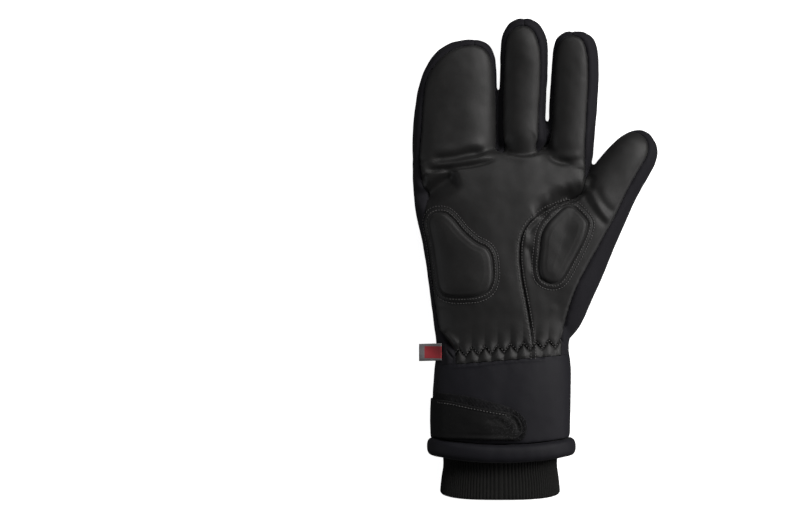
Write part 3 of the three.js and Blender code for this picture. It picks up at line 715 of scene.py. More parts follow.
def smoothSeams(verts, faces, edges, labels, pairs, between):
    # draw the jagged borders between panels into even lines that stay on the skin
    tree = surfaceTree(verts, faces)
    crossing = labels[pairs[:, 0]] != labels[pairs[:, 1]]
    seamEdges = between[crossing]
    onSeam = np.zeros(len(verts), bool)
    onSeam[seamEdges.ravel()] = True
    degree = np.zeros(len(verts), int)
    np.add.at(degree, seamEdges.ravel(), 1)
    fixed = ~onSeam | (degree != 2)
    verts = relax(verts, seamEdges, panelShape["seamRounds"], 0.5, fixed)
    near = onSeam.copy()
    for _ in range(3):
        near[edges[near[edges[:, 0]], 1]] = True
        near[edges[near[edges[:, 1]], 0]] = True
    verts = relax(verts, edges, 4, 0.5, onSeam | ~near)
    for i in np.nonzero(near)[0]:
        verts[i] = tree.find_nearest(Vector(verts[i]))[0]
    leather = [k for k, look in enumerate(panelLooks.values()) if look == "leather"]
    onLeather = np.zeros(len(verts), bool)
    both = np.isin(labels[pairs[:, 0]], leather) | np.isin(labels[pairs[:, 1]], leather)
    onLeather[between[crossing & both].ravel()] = True
    return verts, onSeam, onLeather


def splitPanel(name, verts, normals, faces, onLeather):
    # one panel as a closed piece with an inside, a little smaller than its outline
    used = np.unique(np.concatenate([np.array(f) for f in faces]))
    number = {int(v): i for i, v in enumerate(used)}
    outFaces = [tuple(number[v] for v in f) for f in faces]
    outer, outward = verts[used].copy(), normals[used]
    rim = np.zeros(len(used), bool)
    rim[[a for a, _ in openEdges(outFaces)]] = True
    pull = relax(outer, edgeList(outFaces), 1, 1.0) - outer
    pull -= (pull * outward).sum(axis=1, keepdims=True) * outward
    pull /= np.maximum(np.linalg.norm(pull, axis=1, keepdims=True), 1e-9)
    gap = np.where(onLeather[used], panelShape["gap"], panelShape["clothGap"])
    outer[rim] += (pull * gap[:, None] * mm)[rim]
    inner = outer - outward * panelShape["wallThick"] * mm
    return shellPiece(name, outer, inner, outFaces)


# where the skin is smoothed over the root of the thumb (draft units, and height in m)
joinShape = {
    "left": -14,
    "right": 62,
    "bottom": -62,
    "top": 84,
    "edge": 14,
    "height": (0.019, 0.026),
    "rounds": 110,
}


def softenThumbJoin(verts, edges):
    # the thumb's root runs smoothly into the palm
    shape = joinShape
    flat = toDraft(verts)
    inside = np.ones(len(verts))
    for axis, low, high in ((0, "left", "right"), (1, "bottom", "top")):
        inside *= smoothStep(flat[:, axis], shape[low] - shape["edge"], shape[low] + shape["edge"])
        inside *= 1 - smoothStep(flat[:, axis], shape[high] - shape["edge"], shape[high] + shape["edge"] / 2)
    inside *= smoothStep(verts[:, 2], *shape["height"])
    soft = relax(verts, edges, shape["rounds"])
    return verts + (soft - verts) * inside[:, None]


skinVerts = softenThumbJoin(skinVerts, skinEdges)
skinVerts, skinFaces = refineWrist(skinVerts, skinFaces)
skinEdges = edgeList(skinFaces)

# the end of the gauntlet bows a little round the wrist, and its cap comes off
bow = {
    "start": -150,
    "end": -182,
    "cap": 1.2,
    "rise": 3.0,
    "middle": -34.5,
    "half": 69,
    "front": (0.012, 0.034),  # m, from the floor side to the palm side
}


def bowed(points, height):
    # how far along the glove (m) a point near its end moves
    flat = toDraft(points)
    share = smoothStep(-flat[:, 1], -bow["start"], -bow["end"])
    across = np.clip(((flat[:, 0] - bow["middle"]) / bow["half"]) ** 2, 0, 1)
    front = smoothStep(height, *bow["front"])
    return share * (bow["rise"] - 2 * bow["rise"] * (1 - across) * front) * draftUnit


atEnd = faceCentres(skinVerts, skinFaces)[:, 1] < originY + (bow["end"] + bow["cap"]) * draftUnit
normals = vertexNormals(skinVerts, skinFaces)
turned = np.array([normals[list(f), 1].mean() for f in skinFaces])
keptFaces = [f for f, onCap in zip(skinFaces, atEnd & (turned < -0.75)) if not onCap]
report("cap faces taken off: %d" % (len(skinFaces) - len(keptFaces)))

labels, pairs, between = labelFaces(skinVerts, keptFaces, normals)
keptEdges = edgeList(keptFaces)
skinVerts, onSeam, onLeather = smoothSeams(skinVerts, keptFaces, keptEdges, labels, pairs, between)
report("panels labelled")

# the surface


def sculptSkin(verts, faces, onSeam, onLeather):
    # folds, gathers, seams, puckers and slack, all as a move along the normals
    shape = panelShape
    normals = vertexNormals(verts, faces)
    smoothNormals = relax(normals, edgeList(faces), 6)
    smoothNormals /= np.maximum(np.linalg.norm(smoothNormals, axis=1, keepdims=True), 1e-9)
    flat = toDraft(verts)
    facing = smoothStep(normals[:, 2], 0.05, 0.5)
    move = -foldDepth(flat, facing) + pleatHeight(flat, facing)
    seams, leatherSeams = pointTree(verts[onSeam]), pointTree(verts[onLeather])
    gap = np.array([seams.find(v)[2] for v in verts]) / mm
    leatherGap = np.array([leatherSeams.find(v)[2] for v in verts]) / mm
    gathered = (flat[:, 1] > pleatShape["bottom"]) & (flat[:, 1] < -70) & (facing > 0.2)
    depth = np.where(gathered, shape["gatheredSeamDepth"], shape["seamDepth"])
    depth *= 0.35 + 0.65 * smoothStep(normals[:, 2], 0.1, 0.6)
    move -= depth * nearness(leatherGap, shape["seamWidth"])
    move -= shape["clothSeamDepth"] * nearness(gap, shape["clothSeamWidth"]) * (leatherGap > 2)
    move += shape["puff"] * (1 - np.exp(-gap / shape["puffWidth"]))
    move += shape["pucker"] * softNoise(verts, 420.0, 3) * np.exp(-gap / shape["puckerWidth"])
    stretched = verts * np.array([1.0, 0.55, 1.0])
    move += shape["slack"] * softNoise(stretched, 70.0, 5) * smoothStep(gap, 1, 8)
    move += shape["creasing"] * softNoise(verts, 160.0, 11) * smoothStep(gap, 1, 5)
    out = verts + smoothNormals * move[:, None] * mm
    out[:, 1] += bowed(out, out[:, 2])
    # what lay on the floor still does
    floor = verts[:, 2] < 0.8 * mm
    out[floor, 2] = np.minimum(out[floor, 2], 0.3 * mm)
    out[:, 2] = np.maximum(out[:, 2], 0.0)
    return out, smoothNormals


skinVerts, skinNormals = sculptSkin(skinVerts, keptFaces, onSeam, onLeather)
panels = {}
for number, name in enumerate(panelLooks):
    chosen = [keptFaces[i] for i in np.nonzero(labels == number)[0]]
    panels[name] = splitPanel(name + "_skin", skinVerts, skinNormals, chosen, onLeather)
report("panels split")

# layers laid over the skin

skinTree = surfaceTree(skinVerts, keptFaces)
normalTree = pointTree(skinVerts)


def smoothNormalAt(point):
    total = np.zeros(3)
    for _, i, away in normalTree.find_n(point, 8):
        total += skinNormals[i] / (away + 0.4 * mm)
    return total / np.linalg.norm(total)


def onPalm(flat):
    # points of the skin straight under draft positions, seen from the palm side
    places, normals = [], []
    for a, b in flat:
        start = Vector((originX + a * draftUnit, originY + b * draftUnit, 200 * mm))
        hit = skinTree.ray_cast(start, Vector((0, 0, -1)))[0]
        if hit is None or hit.z < 16 * mm:
            hit = skinTree.find_nearest(Vector((start.x, start.y, 22 * mm)))[0]
        places.append(hit)
        normals.append(smoothNormalAt(hit))
    return np.array(places), np.array(normals)


# the gauntlet's section under the strap: sides in draft units, heights in mm
gauntletShape = {"left": -103.3, "right": 34.3, "halfHeight": 20.25, "midHeight": 24.7}


def unrolled():
    # the way round the gauntlet from the middle of its front to its left, for the strap
    shape = gauntletShape
    turn = np.linspace(math.pi / 2, math.pi * 1.25, 400)
    middle = (shape["right"] + shape["left"]) / 2
    half = (shape["right"] - shape["left"]) / 2 * draftUnit
    x, z = superRing(turn, half, shape["halfHeight"] * mm, skinShape["hand"]["power"])
    run = np.concatenate([[0], np.cumsum(np.hypot(np.diff(x), np.diff(z)))])
    return middle, middle - run / draftUnit, x, z


gauntletMiddle, gauntletRun, gauntletX, gauntletZ = unrolled()


def onGauntlet(flat):
    # points of the skin at a way round the gauntlet, as if it lay flat
    places, normals = [], []
    for a, b in flat:
        if a > gauntletMiddle:
            place, normal = onPalm([(a, b)])
            places.append(place[0])
            normals.append(normal[0])
            continue
        x = np.interp(-a, -gauntletRun, gauntletX)
        z = np.interp(-a, -gauntletRun, gauntletZ)
        middle = originX + gauntletMiddle * draftUnit
        start = Vector((middle, originY + b * draftUnit, gauntletShape["midHeight"] * mm))
        hit = skinTree.ray_cast(start, Vector((x, 0, z)).normalized())[0]
        if hit is None:
            hit = skinTree.find_nearest(start + Vector((x, 0, z)))[0]
        places.append(hit)
        normals.append(smoothNormalAt(hit))
    return np.array(places), np.array(normals)


def signedArea(line):
    return (line[:, 0] * np.roll(line[:, 1], -1) - np.roll(line[:, 0], -1) * line[:, 1]).sum()


def outwardOf(line):
    # unit normals of a closed line, pointing out of it
    ahead = np.roll(line, -1, axis=0) - np.roll(line, 1, axis=0)
    ahead /= np.linalg.norm(ahead, axis=1, keepdims=True)
    out = np.stack([ahead[:, 1], -ahead[:, 0]], axis=1)
    return out if signedArea(line) > 0 else -out


def layerRings(shape):
    # rings of draft positions from a layer's outline to its centre, and their way in from it (mm)
    line = evenly(curveThrough(shape["edge"], 300, True), 1.0, True)
    around = np.linalg.norm(np.diff(np.concatenate([line, line[:1]]), axis=0), axis=1).sum()
    line = evenly(line, around / shape["sides"], True)[:shape["sides"]]
    unit = draftUnit / mm
    centre = np.array(shape["centre"], float)
    out = outwardOf(line)
    rings = [line - out * way / unit for way, _ in shape["profile"]]
    ways = [np.full(len(line), float(way)) for way, _ in shape["profile"]]
    lastRing, lastWay = rings[-1], ways[-1][0]
    for share in np.linspace(0, 1, shape["innerRings"] + 2)[1:-1]:
        ring = lastRing * (1 - share) + centre * share
        rings.append(ring)
        ways.append(lastWay + alongLine(ring, np.concatenate([line, line[:1]]))[0] * unit)
    flat = np.concatenate(rings + [centre[None, :]])
    return flat, np.concatenate(ways + [[lastWay + 12.0]]), len(rings), line


def layerHeight(shape, flat, way, places):
    # height over the skin by the way in from the outline, with grain and dents (mm)
    ways, heights = np.array(shape["profile"]).T
    height = np.interp(way, ways, heights)
    height += shape["crown"] * (1 - nearness(np.maximum(way - ways[-1], 0), 7))
    if "rough" in shape:
        grain = softNoise(places, shape["roughScale"], 21)
        height += shape["rough"] * grain * smoothStep(way, ways[0], ways[0] + 0.8)
    for dent in shape.get("dents", []):
        gap, _, share = alongLine(flat, curveThrough(dent["path"], 16))
        height -= dent["depth"] * nearness(gap * draftUnit / mm, dent["width"]) * fadedEnds(share, 0.25)
    if "hug" in shape:
        height *= 1 - (1 - shape["hugShare"]) * (1 - smoothStep(flat[:, 0], *shape["hug"]))
    return height


def layerPiece(name, shape, surface):
    # a closed layer over the skin
    flat, way, ringCount, line = layerRings(shape)
    sides = len(line)
    places, normals = surface(flat)
    height = layerHeight(shape, flat, way, places)
    low = np.minimum(shape["under"], height * 0.55)
    top = places + normals * np.maximum(height, low + 0.12)[:, None] * mm
    last, centre = (ringCount - 1) * sides, ringCount * sides
    faces = loftFaces(ringCount, sides)
    faces += [(last + i, last + (i + 1) % sides, centre) for i in range(sides)]
    if signedArea(line) < 0:
        faces = [f[::-1] for f in faces]
    return shellPiece(name, top, places + normals * low[:, None] * mm, faces)


padProfile = [
    (-3.3, 0.15), (-3.1, 0.3), (-2.2, 0.45), (-1.2, 0.5), (-0.6, 0.42), (-0.2, 0.25), (0.0, 0.3),
    (0.15, 1.0), (0.4, 1.75), (0.75, 2.3), (1.2, 2.65), (1.8, 2.9), (2.6, 3.05), (3.6, 3.15)]
heelPad = {
    "edge": [(-106, 37), (-103, 43), (-97, 45), (-90, 44), (-83, 38), (-73, 26), (-61, 15.5),
             (-50.5, 10), (-45.5, 2), (-44, -9), (-44, -20), (-48, -31), (-58, -37), (-72, -38.5),
             (-86, -38), (-94, -33), (-97.5, -22), (-99.5, -6), (-102, 12), (-105, 27)],
    "centre": (-76, -4), "sides": 220, "innerRings": 16, "profile": padProfile, "crown": 0.7,
    "under": 0.12, "fill": 0.75}
thumbPad = {
    "edge": [(33, 51.5), (38, 50), (45, 43.5), (50.5, 36), (50, 28), (45, 15), (35, -4), (26, -19.5),
             (19, -25), (10, -24), (4, -19), (2, -8), (3.5, 8), (5, 22), (10, 33), (20, 44), (28, 50.5)],
    "centre": (24, 14), "sides": 180, "innerRings": 14, "profile": padProfile, "crown": 0.7,
    "under": 0.12, "fill": 0.75}
strapLayer = {
    "edge": [(-116, -142.5), (-108, -141.8), (-100, -141.5), (-85, -143), (-62, -147.5), (-44, -151),
             (-30, -153.2), (-21, -157), (-16, -164), (-15.5, -172), (-20, -178.5), (-30, -180),
             (-60, -179.5), (-100, -178.5), (-108, -178.3), (-116, -177.5)],
    "centre": (-66, -163), "sides": 240, "innerRings": 16, "crown": 0.35, "under": 1.65, "rough": 0.16,
    "roughScale": 180.0, "hug": (-106, -84), "hugShare": 0.4,
    "profile": [(0.0, 2.0), (0.12, 2.8), (0.35, 3.35), (0.9, 3.45), (1.7, 3.05), (3.2, 3.1)],
    "dents": [{"path": [(-31, -152), (-24, -158), (-19, -166), (-18, -176)], "depth": 1.0, "width": 1.0},
              {"path": [(-44, -158), (-38, -161), (-32, -166), (-27, -172)], "depth": 0.45, "width": 0.9},
              {"path": [(-40, -154), (-35, -158), (-29, -164)], "depth": -0.35, "width": 0.9},
              {"path": [(-49, -163), (-44, -161), (-40, -166)], "depth": 0.45, "width": 1.2},
              {"path": [(-70, -175.5), (-50, -176), (-28, -175.5)], "depth": 0.3, "width": 0.8}]}
# the tape reaches about 4 mm past the strap's top edge; in its near-black finish that band is painted shadow
# of the strap on the gauntlet
hookAndShadeLayer = {
    "edge": [(-114, -136), (-100, -134.5), (-84, -135.4), (-68, -137.6), (-50, -141.5), (-36, -145.5),
             (-26, -149), (-17, -154), (-11, -162), (-10.5, -172), (-15, -180.5), (-30, -181.5),
             (-60, -181), (-100, -180.5), (-114, -179)],
    "centre": (-62, -162), "sides": 360, "innerRings": 22, "crown": 0.0, "under": 0.15, "rough": 0.35,
    "roughScale": 900.0, "hug": (-106, -84), "hugShare": 0.3,
    "profile": [(0.0, 0.5), (0.3, 1.0), (0.8, 1.2), (1.8, 1.25), (3.0, 1.25)]}

heelPiece = layerPiece("heel_pad_cushion", heelPad, onPalm)
thumbPiece = layerPiece("thumb_pad_cushion", thumbPad, onPalm)
strapPiece = layerPiece("wrist_strap_cloth", strapLayer, onGauntlet)
hookAndShadePiece = layerPiece("strap_hook_tape", hookAndShadeLayer, onGauntlet)
report("pads and strap laid on")

# rolled edge and knitted cuff

cuffShape = {
    "left": -103, "right": 34, "low": 4.5, "high": 45, "power": 2.35,
    "rollTop": -182.5, "rollLength": 18.0, "proud": 3.6, "inset": 5.1, "pucker": 0.22,
    "stations": 300, "rollSides": 30,
    "knitTop": -168, "knitEnd": -240, "knitInset": 6.7, "knitShift": -1.3, "knitWall": 2.4,
    "ribs": 112, "ribDepth": 0.5,
    # past this place along the glove the knit's rim rises at its sides, flares, and stops following the bow
    "rimFrom": -206, "rimRise": 8.0, "rimReach": 32, "flare": 1.6, "flareReach": 35, "bowFade": 20,
    "waist": 0.35, "waistAt": -212,
}


def cuffRing(along, turn, insetX, insetZ):
    # one ring of the gauntlet's end, roll or knit, at its place along the glove
    shape = cuffShape
    middle = (shape["left"] + shape["right"]) / 2
    halfX = (shape["right"] - shape["left"]) / 2 * draftUnit
    halfZ = (shape["high"] - shape["low"]) / 2 * mm
    x, z = superRing(turn, halfX - insetX * mm, halfZ - insetZ * mm, shape["power"])
    height = z + (shape["high"] + shape["low"]) / 2 * mm
    out = np.clip(np.abs(x) / np.abs(x).max(), 0, 1)
    past = shape["rimFrom"] - along
    rise = shape["rimRise"] * (1 - (1 - out**3) ** (1 / 3)) * np.clip(past / shape["rimReach"], 0, 1)
    x, y = originX + middle * draftUnit + x, originY + (along + rise) * draftUnit
    points = np.stack([x, y, height], axis=1)
    atEnd = np.stack([points[:, 0], np.full(len(x), originY + bow["end"] * draftUnit)], axis=1)
    points[:, 1] += bowed(atEnd, height) * (1 - np.clip(past / shape["bowFade"], 0, 1))
    return points


def buildRoll():
    # a padded tube round the gauntlet's end, a little squarer than round
    shape = cuffShape
    turn = np.linspace(0, 2 * math.pi, shape["stations"], endpoint=False)
    halfLength = shape["rollLength"] / 2
    rings = []
    for k in range(shape["rollSides"]):
        round_ = 2 * math.pi * k / shape["rollSides"]
        c, s = math.cos(round_), math.sin(round_)
        outward = 0.5 + 0.5 * math.copysign(abs(c) ** 0.8, c)
        along = shape["rollTop"] - halfLength + math.copysign(abs(s) ** 0.75, s) * halfLength
        insetX = shape["inset"] + (-shape["proud"] - shape["inset"]) * outward
        insetZ = shape["inset"] + (-shape["low"] - shape["inset"]) * outward
        rings.append(cuffRing(np.full(shape["stations"], along), turn, insetX, insetZ))
    verts = np.concatenate(rings)
    faces = loftFaces(shape["rollSides"], shape["stations"], hoop=True)
    wave = softNoise(verts * np.array([1.0, 0.35, 1.0]), 190.0, 31)
    verts += vertexNormals(verts, faces) * (wave * shape["pucker"] * mm)[:, None]
    verts[:, 2] = np.maximum(verts[:, 2], 0.0)
    return newPiece("cuff_roll_neoprene", verts, faces)


def buildKnit():
    # a ribbed tube that flares a little to its rounded rim
    shape = cuffShape
    perRib = 8
    count = shape["ribs"] * perRib
    turn = np.linspace(0, 2 * math.pi, count, endpoint=False)
    rib = np.abs(np.cos(np.arange(count) * math.pi / perRib)) ** 0.8 * shape["ribDepth"]
    top, end, wall = shape["knitTop"], shape["knitEnd"], shape["knitWall"]
    rows = [(top, wall)]
    rows += [(top - share * (top - end), 0.0) for share in np.linspace(0, 1, 26)]
    rows += [(end - 0.6, 0.35), (end - 1.0, 1.0), (end - 0.6, 1.8), (end, wall)]
    rings = []
    for along, depth in rows:
        flare = shape["flare"] * np.clip((shape["rimFrom"] - along) / shape["flareReach"], 0, 1)
        flare -= shape["waist"] * nearness(along - shape["waistAt"], 7)
        inset = shape["knitInset"] + depth - flare + shape["ribDepth"] - rib * (1 if depth < 1 else 0.4)
        rings.append(cuffRing(np.full(count, float(along)), turn, inset, inset))
    verts = np.concatenate(rings)
    verts[:, 0] += shape["knitShift"] * draftUnit
    verts[:, 2] += softNoise(verts, 90.0, 41) * 0.35 * mm
    verts[:, 0] += softNoise(verts, 70.0, 43) * 0.25 * mm
    return newPiece("rib_cuff_knit", verts, loftFaces(len(rings), count, hoop=True))


rollPiece = buildRoll()
knitPiece = buildKnit()

# the folded label

labelShape = {
    "left": -117, "right": -94.5, "top": -85.5, "bottom": -102.8,
    "thick": 1.0, "lift": 6.4, "rise": 4.6,  # mm
    "tilt": 2.0,  # degrees
}


def buildLabel():
    # a flat tab that bends up towards the glove and thins at its edges
    shape = labelShape
    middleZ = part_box("side_label")[0][2] + shape["lift"] * mm
    across, along = 18, 14
    top, low = [], []
    for j in range(along + 1):
        for i in range(across + 1):
            a, b = i / across, j / along
            x = originX + (shape["left"] + (shape["right"] - shape["left"]) * a) * draftUnit
            y = originY + (shape["bottom"] + (shape["top"] - shape["bottom"]) * b) * draftUnit
            y += math.tan(math.radians(shape["tilt"])) * (a - 0.5) * 12 * mm
            bend = shape["rise"] * mm * a**2 + 0.35 * mm * math.sin(b * 5 + a * 3)
            edge = min(1.0, 6 * (a + 0.03), 6 * (b + 0.03), 6 * (1.03 - b))
            half = shape["thick"] * mm / 2 * edge
            top.append((x, y, middleZ + bend + half))
            low.append((x, y, middleZ + bend - half))
    faces = []
    for j in range(along):
        for i in range(across):
            k = j * (across + 1) + i
            faces.append((k, k + 1, k + across + 2, k + across + 1))
    return shellPiece("side_label_tab", np.array(top), np.array(low), faces)


labelPiece = buildLabel()
report("cuff and label built")

# stitches

stitchShape = {"length": 1.15, "pitch": 1.72, "radius": 0.29}  # mm
stitchStep = stitchShape["pitch"] * mm / draftUnit


def stitchTemplate():
    # one stitch as a small closed capsule: share along it, and its thickness each way
    stations, sides = [(-0.5, 0.25), (-0.36, 0.85), (0, 1.0), (0.36, 0.85), (0.5, 0.25)], 6
    points = []
    for way, thick in stations:
        for turn in np.arange(sides) * 2 * math.pi / sides:
            points.append((way, math.cos(turn) * thick, math.sin(turn) * thick))
    return np.array(points), loftFaces(len(stations), sides, caps=True)


def stitchMesh(name, rows):
    # each row is places and normals in order; a stitch lies along the row at every place
    template, faces = stitchTemplate()
    radius = stitchShape["radius"] * mm
    arch = (0.5 - np.abs(template[:, 0])) * radius * 1.4
    allVerts, allFaces = [], []
    for places, normals, closed in rows:
        ahead = np.roll(places, -1, axis=0) - np.roll(places, 1, axis=0)
        if not closed:
            ahead[0] = places[1] - places[0]
            ahead[-1] = places[-1] - places[-2]
        ahead /= np.linalg.norm(ahead, axis=1, keepdims=True)
        side = np.cross(normals, ahead)
        side /= np.linalg.norm(side, axis=1, keepdims=True)
        up = np.cross(ahead, side)
        for p, a, s, u in zip(places, ahead, side, up):
            long = stitchShape["length"] * mm * rng.uniform(0.9, 1.08)
            start = len(allVerts) * len(template)
            height = radius * 0.35 + template[:, 2:3] * radius * 0.8 + arch[:, None]
            allVerts.append(p + template[:, :1] * long * a + template[:, 1:2] * radius * s + height * u)
            allFaces += [tuple(i + start for i in f) for f in faces]
    return newPiece(name, np.concatenate(allVerts), allFaces)


def besideClosed(shape, way, height):
    # a row of stitches outside the outline of a pad
    line = evenly(curveThrough(shape["edge"], 300, True), 0.5, True)
    line = line + outwardOf(line) * way * mm / draftUnit
    places, normals = onPalm(evenly(line, stitchStep, True))
    return places + normals * height * mm, normals, True


def besideOpen(path, way, height, surface=None):
    # a row of stitches on one side of a line
    line = evenly(curveThrough(path, 200), 0.5)
    ahead = np.gradient(line, axis=0)
    ahead /= np.linalg.norm(ahead, axis=1, keepdims=True)
    line = line + np.stack([ahead[:, 1], -ahead[:, 0]], axis=1) * way * mm / draftUnit
    places, normals = (surface or onPalm)(evenly(line, stitchStep))
    return places + normals * height * mm, normals, False


def padRows(name, shape):
    # an inner row pressed against the pad and an outer one beside it
    return stitchMesh(name, [besideClosed(shape, 1.6, 0.48), besideClosed(shape, 4.0, 0.05)])


thumbSeamPath = [
    (31, 57.6), (22, 54), (7, 47), (-8, 35), (-15, 22), (-17, 3), (-15, -19), (-11, -40), (-8, -56),
    (-4, -84), (-3.5, -100)]
heelStitches = padRows("heel_pad_stitches", heelPad)
thumbStitches = padRows("thumb_pad_stitches", thumbPad)
seamRows = [besideOpen(thumbSeamPath, side, 0.05) for side in (1.35, -1.35)]
seamStitches = stitchMesh("thumb_seam_stitches", seamRows)


def elasticRow():
    u = np.linspace(-80, 24, 500)
    _, zig, _ = elasticLine(u)
    places, normals = onPalm(evenly(np.stack([u, zig + 0.9], axis=1), stitchStep))
    return places + normals * 0.08 * mm, normals, False


elasticStitches = stitchMesh("wrist_elastic_stitches", [elasticRow()])
strapEdgeRow = [(-100, -143.7), (-85, -145.2), (-62, -149.7), (-44, -153.2), (-31, -155.5)]
strapTree = surfaceTree(*meshArrays(strapPiece.data))


def onStrap(flat):
    places, normals = onGauntlet(flat)
    for i, (place, normal) in enumerate(zip(places, normals)):
        hit = strapTree.ray_cast(Vector(place + normal * 8 * mm), Vector(-normal))[0]
        if hit is not None:
            places[i] = hit
    return places, normals


strapStitches = stitchMesh("wrist_strap_stitches", [besideOpen(strapEdgeRow, 0.3, 0.0, onStrap)])
report("stitches laid")

# materials


def newGroup(name, inputs, outputs):
    tree = bpy.data.node_groups.new(name, "ShaderNodeTree")
    for label, kind, value in inputs:
        socket = tree.interface.new_socket(label, in_out="INPUT", socket_type=kind)
        socket.default_value = value
    for label, kind in outputs:
        tree.interface.new_socket(label, in_out="OUTPUT", socket_type=kind)
    return tree, tree.nodes.new("NodeGroupInput"), tree.nodes.new("NodeGroupOutput")


def mathNode(tree, operation, first, second=None, clamp=False):
    node = tree.nodes.new("ShaderNodeMath")
    node.operation = operation
    node.use_clamp = clamp
    for socket, value in zip(node.inputs, (first, second)):
        if value is None:
            continue
        if hasattr(value, "is_output"):
            tree.links.new(value, socket)
        else:
            socket.default_value = value
    return node.outputs[0]


def noiseNode(tree, place, scale, detail=3.0, roughness=0.55):
    node = tree.nodes.new("ShaderNodeTexNoise")
    node.inputs["Detail"].default_value = detail
    node.inputs["Roughness"].default_value = roughness
    tree.links.new(place, node.inputs["Vector"])
    if hasattr(scale, "is_output"):
        tree.links.new(scale, node.inputs["Scale"])
    else:
        node.inputs["Scale"].default_value = scale
    return node.outputs[0]


def multiplied(tree, first, second, clamp=False):
    return mathNode(tree, "MULTIPLY", first, second, clamp)


def blended(tree, first, share, second, otherShare):
    # two fields added, each by its share
    return mathNode(tree, "ADD", multiplied(tree, first, share), multiplied(tree, second, otherShare))


def leatherGroup():
    # pebbled grain with fine creases
    inputs = [("Vector", "NodeSocketVector", (0, 0, 0)), ("Cells", "NodeSocketFloat", 1000.0)]
    outputs = [("Height", "NodeSocketFloat"), ("Shade", "NodeSocketFloat")]
    tree, given, made = newGroup("leatherGrain", inputs, outputs)
    cells = tree.nodes.new("ShaderNodeTexVoronoi")
    cells.feature = "DISTANCE_TO_EDGE"
    tree.links.new(given.outputs["Vector"], cells.inputs["Vector"])
    tree.links.new(given.outputs["Cells"], cells.inputs["Scale"])
    edge = mathNode(tree, "MINIMUM", multiplied(tree, cells.outputs["Distance"], 3.0), 1.0)
    creases = noiseNode(tree, given.outputs["Vector"], 260.0, 4.0)
    broad = noiseNode(tree, given.outputs["Vector"], 45.0, 2.0)
    tree.links.new(blended(tree, edge, 0.6, creases, 0.5), made.inputs["Height"])
    tree.links.new(blended(tree, broad, 0.7, creases, 0.3), made.inputs["Shade"])
    return tree


def weaveGroup():
    # crossed yarns that follow the glove's length and width
    inputs = [("Vector", "NodeSocketVector", (0, 0, 0)), ("Yarns", "NodeSocketFloat", 5000.0)]
    inputs.append(("Fuzz", "NodeSocketFloat", 0.3))
    outputs = [("Height", "NodeSocketFloat"), ("Fleck", "NodeSocketFloat")]
    tree, given, made = newGroup("clothWeave", inputs, outputs)
    split = tree.nodes.new("ShaderNodeSeparateXYZ")
    tree.links.new(given.outputs["Vector"], split.inputs[0])
    around = mathNode(tree, "ADD", split.outputs["X"], split.outputs["Z"])
    first = mathNode(tree, "SINE", multiplied(tree, around, given.outputs["Yarns"]))
    second = mathNode(tree, "SINE", multiplied(tree, split.outputs["Y"], given.outputs["Yarns"]))
    crossed = multiplied(tree, first, second)
    fuzz = noiseNode(tree, given.outputs["Vector"], 1800.0, 2.0)
    fuzzed = multiplied(tree, mathNode(tree, "SUBTRACT", fuzz, 0.5), given.outputs["Fuzz"])
    tree.links.new(blended(tree, crossed, 0.3, fuzzed, 2.0), made.inputs["Height"])
    tree.links.new(fuzz, made.inputs["Fleck"])
    return tree


def wearGroup():
    # dust and rubbed places
    inputs = [("Vector", "NodeSocketVector", (0, 0, 0)), ("Amount", "NodeSocketFloat", 0.3)]
    tree, given, made = newGroup("wearDust", inputs, [("Mask", "NodeSocketFloat")])
    patches = noiseNode(tree, given.outputs["Vector"], 28.0, 5.0, 0.65)
    specks = noiseNode(tree, given.outputs["Vector"], 900.0, 2.0)
    worn = mathNode(tree, "SUBTRACT", patches, 0.42, True)
    mask = multiplied(tree, worn, multiplied(tree, specks, 5.0))
    tree.links.new(multiplied(tree, mask, given.outputs["Amount"], True), made.inputs["Mask"])
    return tree


# where the flecks start and where they are full, in draft units across
frayShape = {
    "start": -56.0,
    "full": -26.0,
    "scale": 1500.0,
    "threshold": 0.54,
    "colour": (0.045, 0.045, 0.047),
}


def frayGroup():
    # rubbed flecks towards the free end of the strap
    inputs = [("Vector", "NodeSocketVector", (0, 0, 0))]
    tree, given, made = newGroup("strapFray", inputs, [("Mask", "NodeSocketFloat")])
    split = tree.nodes.new("ShaderNodeSeparateXYZ")
    tree.links.new(given.outputs["Vector"], split.inputs[0])
    ramp = tree.nodes.new("ShaderNodeMapRange")
    ramp.inputs["From Min"].default_value = originX + frayShape["start"] * draftUnit
    ramp.inputs["From Max"].default_value = originX + frayShape["full"] * draftUnit
    tree.links.new(split.outputs["X"], ramp.inputs["Value"])
    flecks = noiseNode(tree, given.outputs["Vector"], frayShape["scale"], 3.0, 0.7)
    proud = mathNode(tree, "SUBTRACT", flecks, frayShape["threshold"], True)
    shown = multiplied(tree, proud, 8.0, True)
    tree.links.new(multiplied(tree, shown, ramp.outputs[0]), made.inputs["Mask"])
    return tree


groups = {"leather": leatherGroup(), "weave": weaveGroup(), "wear": wearGroup(), "fray": frayGroup()}

